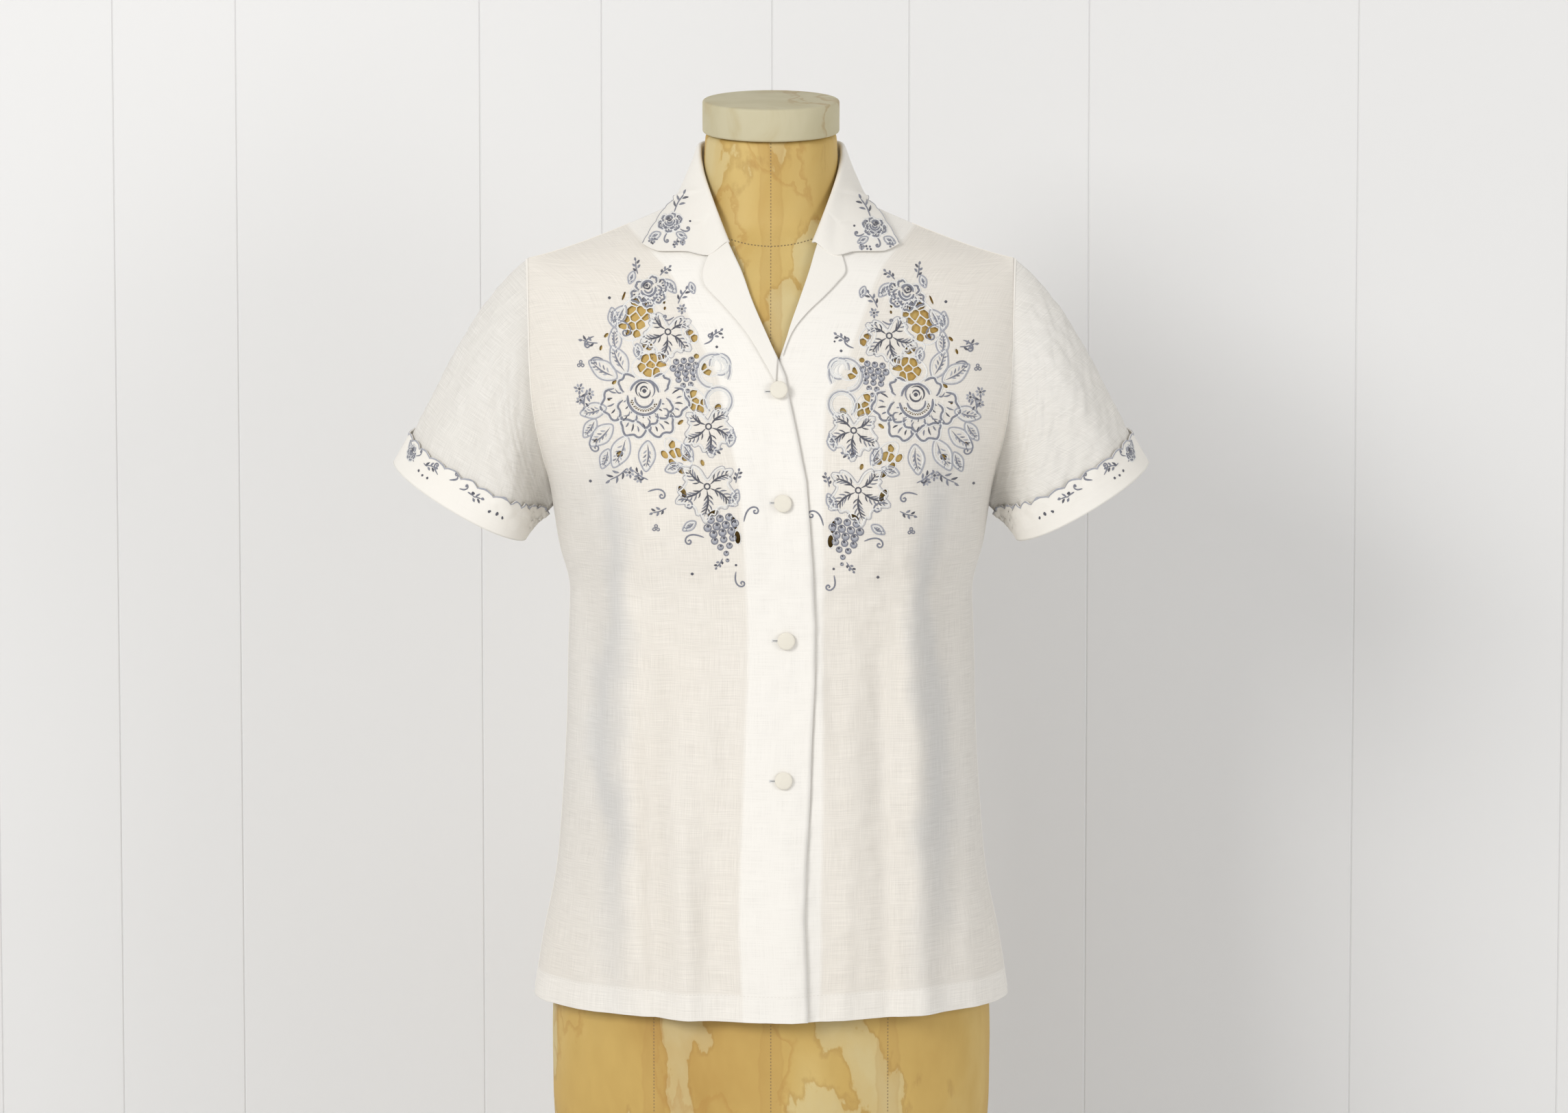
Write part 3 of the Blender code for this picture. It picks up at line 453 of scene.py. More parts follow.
# Nets, in mm: name, x, height, half length, half width, turn in degrees, size of a cell
NETS = (
    ("upper", -102, 857, 17, 12, 62, 6.6),
    ("leaf_gap", -61, 846, 8, 5, 125, 6.0),
    ("middle", -90, 822, 14, 9.5, 15, 6.4),
    ("scroll", -45, 821, 7.5, 6.5, 0, 5.8),
    ("beside_rose", -56, 795.5, 12, 6.5, 125, 6.2),
    ("under_rose", -69, 758, 12.5, 6.2, 135, 6.2),
    ("stem", -96, 837, 8, 4.5, 160, 6.0),
)
# Slits, in mm: name, x, height, length, width, turn in degrees
SLITS = (
    ("ladder_1", -79.5, 756, 6.5, 4.3, 130), ("ladder_2", -73.5, 750, 6.5, 4.3, 135),
    ("ladder_3", -67.0, 744.5, 6.5, 4.3, 140), ("leaf_low", -66, 728.5, 9, 4.6, 120),
    ("grape_top", -43, 712, 8, 4.4, 25), ("grape_side_1", -27.5, 705, 9, 4.2, 105),
    ("grape_side_2", -24.8, 694, 9, 4.2, 95), ("scroll_eye", -39.5, 791, 5.5, 4.6, 60),
    ("petal_gap", -113.5, 755.5, 5.5, 4.6, 30),
)
NET_BAR = 1.2 * MM
SMALLEST_CELL = 4.0 * MM
NET_JITTER = 0.28
NET_SEED = 5
MIRROR_LINE = ((660 * MM, 11 * MM), (880 * MM, 5 * MM))
MIRROR_DROP = 3 * MM
# The finished bars are thinner than the ones of the solid, and a cell's corners are cut off
CELL_GROWTH = 1.12
CORNER_NEAR, CORNER_FAR = 0.84, 0.16
# How far small gaps stay from the larger ones and from each other, so that cuts never meet
CLEAR_OF_GAPS, CLEAR_OF_EACH_OTHER = 0.5 * MM, 0.15 * MM
# Holes too small for the solid: x, height, half length, half width, turn
EYELETS = ((-124.5, 844, 2.0, 1.1, 45), (-128.5, 834.5, 1.9, 1.0, 75), (-61, 841.5, 2.2, 1.2, 60),
           (-55.8, 829, 1.9, 1.7, 0), (-118, 809, 2.0, 1.2, 40), (-122, 796, 1.0, 0.8, 0),
           (-132, 765, 1.8, 1.1, 25), (-112.5, 755.5, 1.9, 1.2, 30), (-51, 750, 2.2, 1.3, 110),
           (-67.5, 780, 2.4, 1.2, 40), (-111.5, 873.5, 3.2, 0.8, 70), (-80.5, 869, 1.2, 0.8, 80),
           (-80.0, 864.5, 1.2, 0.8, 80))
# The open crescent in the lip of the big rose: middle, radius and its two ends in degrees
LATTICE = (-95 * MM, 799 * MM, 9.9 * MM, 190.0, 340.0)
DIAMOND = 0.62 * MM
LATTICE_STEP, LATTICE_ROW_SHARE = 1.75 * MM, 0.62


def table_at(pairs, key):
    return np.interp(key, [pair[0] for pair in pairs], [pair[1] for pair in pairs])


def edge_around(row, edge):
    """Where a front's inner edge crosses a row."""
    size = body_row(row)
    spread = np.radians(size["spread"])
    around = np.zeros_like(row)
    for _ in range(14):
        x = table_at(edge, body_point(around, row, "front")[..., 2] / MM) * MM
        reach = np.clip(x / size["half_width"], -1.0, 1.0)
        around = np.arcsin(reach * np.sin(spread)) / spread
    return around


def lap_lift(x, z):
    """How far the lapping front stands out near its edge."""
    return LAP_LIFT * smooth((x / MM + 30.0) / 16.0) * smooth((872.0 - z / MM) / 40.0)


def front_points(side_sign, edge, lapping, rows, columns):
    row = np.linspace(0.0, SHOULDER_ROW, rows)[:, None]
    inner = edge_around(row[:, 0], edge)[:, None]
    share = np.linspace(0.0, 1.0, columns)[None, :]
    around = inner + (side_sign - inner) * share
    points = body_point(around, row, "front")
    if lapping:
        normal = -side_sign * grid_normals(points)
        normal = np.where(normal[..., 1:2] > 0.0, -normal, normal)
        lift = lap_lift(points[..., 0], points[..., 2])
        points = points + normal * lift[..., None]
    return points


def outward(points, away):
    """Move a grid of points along the normals that agree with a given direction."""
    normal = grid_normals(points)
    flip = np.sign(np.sum(normal * away, axis=-1, keepdims=True))
    return normal * np.where(flip == 0.0, 1.0, flip)


FRONT_OUT = np.array((0.0, -1.0, 0.0))
BACK_OUT = np.array((0.0, 1.0, 0.0))
FRONT_ROWS, FRONT_COLUMNS = 261, 81


# %% Outlines of the gaps
def clip(polygon, point, normal):
    """The part of a convex polygon on the side of a line that its normal points away from."""
    out = []
    for i, here in enumerate(polygon):
        there = polygon[(i + 1) % len(polygon)]
        a = (here[0] - point[0]) * normal[0] + (here[1] - point[1]) * normal[1]
        b = (there[0] - point[0]) * normal[0] + (there[1] - point[1]) * normal[1]
        if a <= 0.0:
            out.append(here)
        if (a < 0.0 < b) or (b < 0.0 < a):
            t = a / (a - b)
            out.append((here[0] + (there[0] - here[0]) * t, here[1] + (there[1] - here[1]) * t))
    return out


def turned_ellipse(x, z, length, width, turn, corners):
    return [turned(length * math.cos(2.0 * math.pi * i / corners),
                   width * math.sin(2.0 * math.pi * i / corners), x, z, turn)
            for i in range(corners)]


def cell_width(cell):
    """Smallest distance between two parallel lines that hold the cell."""
    best = 1.0
    for step in range(12):
        angle = math.pi * step / 12.0
        along = [x * math.cos(angle) + z * math.sin(angle) for x, z in cell]
        best = min(best, max(along) - min(along))
    return best


def net_cells(x, z, length, width, turn, spacing, chance):
    """Cells of a net: the ground nearest each knot, with half a bar off every side."""
    outline = turned_ellipse(x, z, length, width, turn, 14)
    knots = []
    reach = int(length / spacing) + 2
    for i in range(-reach, reach + 1):
        for j in range(-reach, reach + 1):
            u = (i + 0.5 * (j % 2) + chance.uniform(-NET_JITTER, NET_JITTER)) * spacing
            w = (j * 0.9 + chance.uniform(-NET_JITTER, NET_JITTER)) * spacing
            knots.append(turned(u, w, x, z, turn))
    cells = []
    for knot in knots:
        cell = list(outline)
        for other in knots:
            dx, dz = other[0] - knot[0], other[1] - knot[1]
            far = math.hypot(dx, dz)
            if far < 1e-9 or far > 3.2 * spacing or not cell:
                continue
            normal = (dx / far, dz / far)
            half = far / 2.0 - NET_BAR / 2.0
            cell = clip(cell, (knot[0] + normal[0] * half, knot[1] + normal[1] * half), normal)
        if len(cell) >= 3 and cell_width(cell) >= SMALLEST_CELL:
            cells.append(cell)
    return cells


def cut_outlines():
    """Every gap of the wearer's right front, as outlines in x and z."""
    chance = np.random.default_rng(NET_SEED)
    out = []
    for _, x, z, length, width, turn, spacing in NETS:
        out += net_cells(x * MM, z * MM, length * MM, width * MM, turn, spacing * MM, chance)
    for _, x, z, length, width, turn in SLITS:
        out.append(turned_ellipse(x * MM, z * MM, length * MM / 2.0, width * MM / 2.0, turn, 8))
    return out


def mirror_line(line):
    """The same points in x and z on the wearer's left front."""
    line = np.asarray(line, dtype=float)
    heights, places = zip(*MIRROR_LINE)
    middle = np.interp(line[:, 1], heights, places)
    return np.stack([2.0 * middle - line[:, 0], line[:, 1] - MIRROR_DROP], axis=-1)


def rounded(outline):
    """A polygon with its corners cut twice, as stitched edges pull a cell round."""
    points = np.array(outline)
    points = points.mean(axis=0) + (points - points.mean(axis=0)) * CELL_GROWTH
    for _ in range(2):
        after = np.roll(points, -1, axis=0)
        low = points * CORNER_NEAR + after * CORNER_FAR
        high = points * CORNER_FAR + after * CORNER_NEAR
        points = np.stack([low, high], axis=1).reshape(-1, 2)
    return points


def spot_and_heading(line, run, far):
    """The point of a line that is a distance along it, and the unit direction there."""
    spot = np.array([np.interp(far, run, line[:, i]) for i in (0, 1)])
    ahead = np.array([np.interp(far + MM, run, line[:, i]) for i in (0, 1)]) - spot
    return spot, unit(ahead)


def lattice_outlines():
    """Three rows of diamonds along the crescent of the rose."""
    x, z, radius, first, last = LATTICE
    angles = np.radians(np.linspace(first, last, 60))
    middle = np.stack([x + radius * np.cos(angles), z + radius * np.sin(angles)], -1)
    run = run_along(middle)
    out = []
    for row in (-1, 0, 1):
        for k in range(1, int(run[-1] / LATTICE_STEP)):
            far = (k + 0.5 * abs(row)) * LATTICE_STEP
            if far > run[-1] - 0.5 * LATTICE_STEP:
                continue
            (x, z), ahead = spot_and_heading(middle, run, far)
            aside = row * LATTICE_STEP * LATTICE_ROW_SHARE
            x, z = x - ahead[1] * aside, z + ahead[0] * aside
            out.append([(x + DIAMOND, z), (x, z + DIAMOND), (x - DIAMOND, z), (x, z - DIAMOND)])
    return out


def apart(outline, others, least):
    """True if the middles stay further apart than their half sizes together."""
    middle = np.mean(outline, axis=0)
    reach = np.linalg.norm(np.array(outline) - middle, axis=1).max()
    return all(np.linalg.norm(np.array(other) - middle, axis=1).min() > reach + least
               for other in others)


GAPS = cut_outlines()
NET_GAPS = len(GAPS) - len(SLITS)
SMALL_GAPS = [turned_ellipse(x * MM, z * MM, a * MM, b * MM, turn, 8)
              for x, z, a, b, turn in EYELETS] + lattice_outlines()
SMALL_GAPS = [gap for gap in SMALL_GAPS if apart(gap, GAPS, CLEAR_OF_GAPS)]
SMALL_GAPS = [gap for i, gap in enumerate(SMALL_GAPS)
              if apart(gap, SMALL_GAPS[:i], CLEAR_OF_EACH_OTHER)]
print("gaps cut through each front:", len(GAPS), "and small ones:", len(SMALL_GAPS))


# %% Build and cut the fronts
CUT_REACH = 9 * MM
IN_FRONT = -0.4
STRAIGHT_BACK = Vector((0.0, 1.0, 0.0))


def cut_through(piece, outlines, tree):
    """Cut every outline through a piece, straight back from the front."""
    mesh = bmesh.new()
    for outline in outlines:
        points = rounded(outline)
        x, z = points.mean(axis=0)
        hit = tree.ray_cast(Vector((x, IN_FRONT, z)), STRAIGHT_BACK)[0]
        if hit is None:
            continue
        depth = hit.y
        near, far = ([mesh.verts.new((px, depth + reach, pz)) for px, pz in points]
                     for reach in (-CUT_REACH, CUT_REACH))
        mesh.faces.new(near)
        mesh.faces.new(far[::-1])
        for i in range(len(points)):
            k = (i + 1) % len(points)
            mesh.faces.new((near[k], near[i], far[i], far[k]))
    bmesh.ops.recalc_face_normals(mesh, faces=mesh.faces)
    data = bpy.data.meshes.new("cutter")
    mesh.to_mesh(data)
    mesh.free()
    cutter = bpy.data.objects.new("cutter", data)
    bpy.context.scene.collection.objects.link(cutter)
    deselect()
    bpy.context.view_layer.objects.active = piece
    piece.select_set(True)
    apply_modifier(piece, "BOOLEAN", operation="DIFFERENCE", solver="EXACT", object=cutter)
    bpy.data.objects.remove(cutter, do_unlink=True)
    bpy.data.meshes.remove(data)


def tree_of(points):
    """A search tree over a grid of points."""
    rows, columns = points.shape[:2]
    corners = [i * columns + j for i in range(rows - 1) for j in range(columns - 1)]
    return BVHTree.FromPolygons([Vector(p) for p in points.reshape(-1, 3)],
                                [(a, a + 1, a + columns + 1, a + columns) for a in corners])


for name, sign, edge, lapping in (("front_right", -1, LAP_EDGE, True),
                                  ("front_left", 1, UNDER_EDGE, False)):
    points = front_points(sign, edge, lapping, FRONT_ROWS, FRONT_COLUMNS)
    points = points + outward(points, FRONT_OUT) * MIDDLE_OF_WALL
    points = drape(points, "front", run_along(points))
    trees[name] = tree_of(points + outward(points, FRONT_OUT) * WALL / 2.0)
    grids[name] = (points, outward(points, FRONT_OUT), False)
    cuts = [outlines if sign < 0 else [mirror_line(gap) for gap in outlines]
            for outlines in (GAPS, SMALL_GAPS)]
    make_sheet(name, points, "linen", WALL, cuts=cuts)

# %% [markdown]
# ## Back, sleeves and turned-up cuffs
# The back is cut whole. Each short sleeve is a tube set into the armhole and the cuff is a
# straight band, scalloped along its upper edge, turned up over the sleeve's rim.

# %% Back
NECK_HALF = 66 * MM
BACK_NECK_ROW = 16.12
SEAM_GAP = 0.04 * MM
BACK_ROWS, BACK_COLUMNS = 191, 121


def back_points(rows, columns):
    around = np.linspace(-1.0, 1.0, columns)[None, :]
    x = body_point(around, float(SHOULDER_ROW), "back")[..., 0]
    scoop = np.sqrt(np.maximum(0.0, 1.0 - (x / NECK_HALF) ** 2))
    top = SHOULDER_ROW - (SHOULDER_ROW - BACK_NECK_ROW) * scoop
    fixed = UNDERARM_ROW + 4.0
    share = np.linspace(0.0, 1.0, rows)[:, None]
    split = 0.62
    row = np.where(share < split, fixed * share / split,
                   fixed + (top - fixed) * (share - split) / (1.0 - split))
    return body_point(around, row, "back") + np.array((0.0, SEAM_GAP, 0.0))


points = back_points(BACK_ROWS, BACK_COLUMNS)
points = points + outward(points, BACK_OUT) * MIDDLE_OF_WALL
points = drape(points, "back", run_along(points))
make_sheet("back", points[:, ::-1], "linen", WALL)

# %% Sleeves and cuffs
RIM_CENTRE = np.array((241, -4, 714.5)) * MM
RIM_OUT = np.array((48.3, 0, 26.5)) * MM
RIM_FRONT = np.array((-6, -46, -11)) * MM
SLEEVE_AXIS = np.array((0.53, 0.0, -0.85))
CUFF_HEIGHT = 27 * MM
CUFF_GAP = 1.4 * MM
CUFF_SCALLOPS = 24
CUFF_SCALLOP_DEPTH = 2.6 * MM
SLEEVE_HEAD_GAP = 0.1 * MM
# Sleeve folds: place around from 0 at the shoulder to 1, half width, how tall in mm
SLEEVE_FOLDS = ((0.14, 0.035, 2.6), (0.235, 0.03, -1.9), (0.33, 0.04, 2.2), (0.90, 0.04, 2.2),
                (0.79, 0.035, -1.7), (0.66, 0.04, 2.0), (0.03, 0.03, 1.2), (0.44, 0.03, -1.4))


def armhole_loop(turn):
    """Point of the armhole: turn 0 is the shoulder, 0.25 the front, 0.5 the underarm."""
    turn = np.mod(turn, 1.0)
    deep = 1.0 - np.abs(turn * 2.0 - 1.0)
    row = SHOULDER_ROW - (SHOULDER_ROW - UNDERARM_ROW) * deep ** 0.9
    one = np.ones_like(row)
    front, back = body_point(one, row, "front"), body_point(one, row, "back")
    point = np.where((turn < 0.5)[..., None], front, back)
    return point + np.stack([one * SLEEVE_HEAD_GAP, 0.0 * one, -0.9 * MM * deep], axis=-1)


def rim_loop(turn):
    angle = 2.0 * np.pi * turn[..., None]
    return RIM_CENTRE + RIM_OUT * np.cos(angle) + RIM_FRONT * np.sin(angle)


def sleeve_plain(turn, along):
    turn, along = np.broadcast_arrays(np.asarray(turn, float), np.asarray(along, float))
    start, end = armhole_loop(turn), rim_loop(turn)
    length = np.linalg.norm(end - start, axis=-1, keepdims=True)
    angle = 2.0 * np.pi * turn
    over, ahead = np.cos(angle), np.sin(angle)
    leave = unit(np.stack([0.72 + 0 * over, -0.26 * ahead, -0.62 - 0.12 * (1.0 - over)], -1))
    arrive = SLEEVE_AXIS / np.linalg.norm(SLEEVE_AXIS)
    a, b = start + leave * length * 0.36, end - arrive * length * 0.36
    t = along[..., None]
    s = 1.0 - t
    point = start * s**3 + a * (3 * s * s * t) + b * (3 * s * t * t) + end * t**3
    hub = (armhole_loop(np.array(0.0)) + armhole_loop(np.array(0.5))) * 0.5
    out = unit(point - (hub * s + RIM_CENTRE * t))
    bend = np.zeros(turn.shape)
    for at, width, tall in SLEEVE_FOLDS:
        off = np.abs(np.mod(turn - at + 0.5, 1.0) - 0.5 + 0.05 * (along - 0.5))
        bend += tall * MM * np.exp(-(off / width) ** 2)
    bend *= smooth(along * 2.2) * smooth((1.02 - along) * 3.4)
    wrinkle = creases(turn * 0.42, along * 0.19, CREASE_SEED + 3) - 1.6 * CREASE_HEIGHT
    bend += wrinkle * smooth(along * 5.0) * smooth((1.0 - along) * 4.0)
    return point + out * bend[..., None]


def sleeve_surface(turn, along, lift=0.0):
    point = sleeve_plain(turn, along)
    around = sleeve_plain(turn + 0.004, along) - sleeve_plain(turn - 0.004, along)
    down = (sleeve_plain(turn, np.minimum(1.0, along + 0.01))
            - sleeve_plain(turn, np.maximum(0.0, along - 0.01)))
    normal = unit(np.cross(around, down))
    hub = (armhole_loop(np.array(0.0)) + armhole_loop(np.array(0.5))) * 0.5
    centre = hub * (1.0 - along[..., None]) + RIM_CENTRE * along[..., None]
    side = np.sign(np.sum(normal * (point - centre), axis=-1, keepdims=True))
    away = lift * smooth(np.asarray(along, float) * 14.0)[..., None]
    return point + normal * side * away


def cuff_start(turn, height):
    """How far along the sleeve a point lies that is the given distance above the rim."""
    end = rim_loop(turn)
    low, high = np.zeros_like(turn), np.ones_like(turn)
    for _ in range(24):
        mid = (low + high) / 2.0
        far = np.linalg.norm(sleeve_plain(turn, mid) - end, axis=-1) > height
        low, high = np.where(far, mid, low), np.where(far, high, mid)
    return (low + high) / 2.0


def mirrored(points, sign):
    return points * np.array((sign, 1.0, 1.0))


SLEEVE_COLUMNS, SLEEVE_ROWS = 144, 61
CUFF_COLUMNS, CUFF_ROWS = CUFF_SCALLOPS * 10, 19
turn = np.arange(SLEEVE_COLUMNS)[None, :] / SLEEVE_COLUMNS
along = np.linspace(0.0, 1.0, SLEEVE_ROWS)[::-1][:, None]
turn, along = np.broadcast_arrays(turn, along)
sleeve = sleeve_surface(turn, along, MIDDLE_OF_WALL)

turn = np.arange(CUFF_COLUMNS) / CUFF_COLUMNS
wave = np.abs(np.sin(np.pi * CUFF_SCALLOPS * turn)) ** 0.75
height = CUFF_HEIGHT + CUFF_SCALLOP_DEPTH * (wave - 0.5)
top = cuff_start(turn, height)
level = np.linspace(0.0, 1.0, CUFF_ROWS)[::-1][:, None]
cuff = sleeve_surface(np.broadcast_to(turn, (CUFF_ROWS, CUFF_COLUMNS)),
                      top + (1.0 - top) * level, CLOTH + CUFF_GAP + MIDDLE_OF_WALL)
for side, sign in (("right", -1), ("left", 1)):
    for kind, grid, slot in (("sleeve", sleeve, "linen"), ("cuff", cuff, "facing")):
        name = kind + "_" + side
        points = mirrored(grid, sign)
        centre = points.mean(axis=1, keepdims=True)
        normal = grid_normals(points, wrap=True)
        side_out = np.sign(np.sum(normal * (points - centre), axis=-1, keepdims=True))
        grids[name] = (points, normal * side_out, True)
        points = points[:, ::-1] if sign > 0 else points
        make_sheet(name, points, slot, WALL if kind == "sleeve" else DOUBLED_WALL, wrap=True)

# %% [markdown]
# ## Collar, lapels and buttons
# The collar is one piece: it stands up inside the neck, rolls over and falls on the
# shoulders, and its outer edge is scalloped like the cuffs. The fronts turn back below it
# as two small lapels. The buttons are flat moulds covered with the same cloth.

# %% Collar
# Collar: lines of the roll and the seam as x, height, y; outer edge as side, x, height
ROLL = ((33, 914, -65), (39, 929, -55.5), (45.5, 946, -43), (52.5, 966, -24), (55.5, 982, -4),
        (54.5, 989, 14), (46, 991, 36), (27, 992, 52), (0, 992, 58))
SEAM = ((36.0, 914, -62), (39, 922, -55), (47, 936, -41), (58, 951, -22), (63.5, 958, -6),
        (62.5, 964, 14), (54, 967, 33), (31, 969, 46), (0, 970, 51))
OUTER_EDGE = (("front", 97.5, 911.0), ("front", 88, 926.5), ("front", 80, 937.5),
              ("front", 74.5, 943.0), ("back", 72, 949), ("back", 69, 941),
              ("back", 56, 931), ("back", 30, 925), ("back", 0, 923.5))
FALL_END = ((33, 914), (51.5, 901.5), (64, 905.5), (79.5, 905), (91.5, 907.5), (97.5, 911.0))
COLLAR_GAP = 1.5 * MM
COLLAR_SCALLOP = 11 * MM
COLLAR_SCALLOP_DEPTH = 1.6 * MM
BACK_COLLAR_LIFT = 2.6 * MM
COLLAR_SECTIONS, COLLAR_COLUMNS = 401, 33


def locate(x, z, side):
    """The (around, row) of the points of the body at x and height z."""
    x, z = np.broadcast_arrays(np.asarray(x, float), np.asarray(z, float))
    low, high = np.zeros(x.shape), np.full(x.shape, float(SHOULDER_ROW))
    for _ in range(36):
        row = (low + high) / 2.0
        size = body_row(row)
        spread = np.radians(size["spread"])
        reach = np.clip(x / size["half_width"], -1.0, 1.0)
        around = np.arcsin(reach * np.sin(spread)) / spread
        below = body_point(around, row, side)[..., 2] < z
        low, high = np.where(below, row, low), np.where(below, high, row)
    return around, (low + high) / 2.0


def body_normal(around, row, side):
    across = (body_point(np.minimum(1.0, around + 0.01), row, side)
              - body_point(np.maximum(-1.0, around - 0.01), row, side))
    up = (body_point(around, np.minimum(float(SHOULDER_ROW), row + 0.08), side)
          - body_point(around, np.maximum(0.0, row - 0.08), side))
    normal = unit(np.cross(across, up))
    agrees = (normal[..., 1:2] < 0.0) == (side == "front")
    return np.where(agrees, normal, -normal)


def on_body(x, z, side, lift):
    """Points at x and height z, a distance out from the body's inner face."""
    around, row = locate(x, z, side)
    lift = np.asarray(lift, float)[..., None]
    return body_point(around, row, side) + body_normal(around, row, side) * lift


def smooth_points(points, count):
    """Evenly placed points on a smooth curve through the given ones."""
    rows = np.asarray(points, float)
    at = np.linspace(0.0, len(rows) - 1.0, 401)
    fine = curve_value(rows, at)
    lengths = run_along(fine)
    return curve_value(rows, np.interp(np.linspace(0.0, lengths[-1], count), lengths, at))


def collar_points(sections, columns):
    """Half-collar sections from the gorge to the centre back, then their mirror images."""
    count = sections // 2 + 1
    roll, seam = (smooth_points([np.array((x, y, z)) * MM for x, z, y in rows], count)
                  for rows in (ROLL, SEAM))
    lift = CLOTH + COLLAR_GAP
    edge = smooth_points([on_body(x * MM, z * MM, side,
                                  lift + (BACK_COLLAR_LIFT if side == "back" else 0.0))
                          for side, x, z in OUTER_EDGE], count)
    end = smooth_points([on_body(x * MM, z * MM, "front", lift) for x, z in FALL_END], 9)
    length = run_along(edge)
    share = np.linspace(0.0, 22.0, count)
    half = []
    for i in range(count):
        out = unit(edge[i] - roll[i])
        wave = abs(math.sin(math.pi * length[i] / COLLAR_SCALLOP)) ** 0.75
        tip = edge[i] + out * COLLAR_SCALLOP_DEPTH * (wave - 0.5) * smooth(share[i] / 2.0)
        outer = unit(np.array((roll[i][0], roll[i][1] + 6 * MM, 0.0)))
        stand = np.linalg.norm(roll[i] - seam[i])
        body = min(1.0, stand / (20 * MM))
        up = np.array((0.0, 0.0, 1.0))
        line = [seam[i] - outer * 0.3 * MM,
                seam[i] * 0.45 + roll[i] * 0.55 - outer * (0.6 * MM * body),
                roll[i] - outer * (1.3 * MM * body) - up * (1.2 * MM * body),
                roll[i] + outer * (0.2 * MM) + up * (0.5 * MM * body)]
        blend = smooth(share[i] / 5.0)
        shape = smooth_points([roll[i], (roll[i] + tip) / 2.0, tip], 5)
        away = unit(np.array((outer[0], outer[1], 0.5)))
        for k in range(1, 5):
            point = shape[k] + away * (math.sin(math.pi * k / 4.0) * 3.0 * MM * body)
            line.append(end[k * 2] * (1.0 - blend) + point * blend)
        at = np.linspace(0.0, len(line) - 1.0, columns)
        half.append(curve_value(line, at))
    half = np.array(half)
    return np.concatenate([mirrored(half[:-1], -1.0), half[::-1]])


points = collar_points(COLLAR_SECTIONS, COLLAR_COLUMNS)
points = points - grid_normals(points) * MIDDLE_OF_WALL
trees["collar"] = tree_of(points - grid_normals(points) * 0.4 * MM)
grids["collar"] = (points, -grid_normals(points), False)
make_sheet("collar", points[:, ::-1], "facing", DOUBLED_WALL)

# %% Lapels
# Fold line and turned-back edge of each lapel, in mm: x, height
LAPELS = {
    "right": (((5, 826.5), (-5.5, 850), (-14.3, 871), (-21.5, 891), (-29, 907), (-34.5, 919)),
              ((4, 808), (-12, 836), (-23.3, 852), (-37, 867.5), (-49, 880), (-51.5, 890),
               (-47.5, 902))),
    "left": (((8.5, 829), (14.2, 850), (21.6, 871), (28.5, 891), (33.2, 907), (37.0, 918)),
             ((9.5, 830.5), (16, 846.5), (26.5, 860), (40.3, 873), (50, 883), (56.5, 892),
              (53.5, 903))),
}
LAPEL_ROWS, LAPEL_COLUMNS = 57, 21
for side, lines in LAPELS.items():
    inner, outer = (smooth_points([(x * MM, 0.0, z * MM) for x, z in line], LAPEL_ROWS)[:, None]
                    for line in lines)
    share = np.linspace(0.0, 1.0, LAPEL_COLUMNS)[None, :, None]
    flat = inner * (1.0 - share) + outer * share
    x, z = flat[..., 0], flat[..., 2]
    lift = CLOTH + LAY_GAP + (lap_lift(x, z) if side == "right" else 0.0) + 0.0 * x
    points = on_body(x, z, "front", lift + MIDDLE_OF_WALL)
    name = "lapel_" + side
    trees[name] = tree_of(points + outward(points, FRONT_OUT) * 0.45 * MM)
    make_sheet(name, points if side == "left" else points[:, ::-1], "facing", DOUBLED_WALL)

# %% Buttons
BUTTON_RADIUS = 6.6 * MM
BUTTON_THICKNESS = 3.0 * MM
BUTTON_FLATNESS = 0.55
PUCKERS, PUCKER_HEIGHT, PUCKER_START = 22.0, 0.10 * MM, 0.72
for number, (x, z) in enumerate(BUTTONS, start=1):
    x, z = x * MM, z * MM
    lift = CLOTH + LAY_GAP + (CLOTH + LAY_GAP if number == 1 else 0.0) + lap_lift(x, z)
    around, row = locate(x, z, "front")
    facing = Vector(body_normal(around, row, "front"))
    place = Vector(body_point(around, row, "front")) + facing * float(lift + BUTTON_THICKNESS / 2)
    deselect()
    bpy.ops.mesh.primitive_uv_sphere_add(segments=48, ring_count=24, radius=BUTTON_RADIUS)
    piece = bpy.context.object
    piece.name = piece.data.name = "button_%d_covered" % number
    co = np.empty(len(piece.data.vertices) * 3)
    piece.data.vertices.foreach_get("co", co)
    co = co.reshape(-1, 3)
    radius = np.linalg.norm(co[:, :2], axis=1)
    angle = np.arctan2(co[:, 1], co[:, 0])
    height = np.abs(co[:, 2]) / BUTTON_RADIUS
    flat = np.sign(co[:, 2]) * BUTTON_THICKNESS / 2.0 * height ** BUTTON_FLATNESS
    pucker = (PUCKER_HEIGHT * np.sin(angle * PUCKERS)
              * smooth((radius / BUTTON_RADIUS - PUCKER_START) / 0.2))
    co[:, 2] = flat + np.sign(co[:, 2]) * pucker
    piece.data.vertices.foreach_set("co", co.reshape(-1))
    turn = facing.to_track_quat("Z", "X").to_matrix().to_4x4()
    turn.translation = place
    piece.data.transform(turn)
    bpy.ops.object.shade_smooth()
    cloth["button_%d" % number] = piece
    settle(piece, "button", "button_%d" % number)
print("buttons:", len(BUTTONS))

# %% [markdown]
# ## The dress form
# An old torso covered in closely fitted, varnished cloth, on an iron post and a round iron
# foot. Torso and neck are one skin, so both are lofted and melted into one surface.

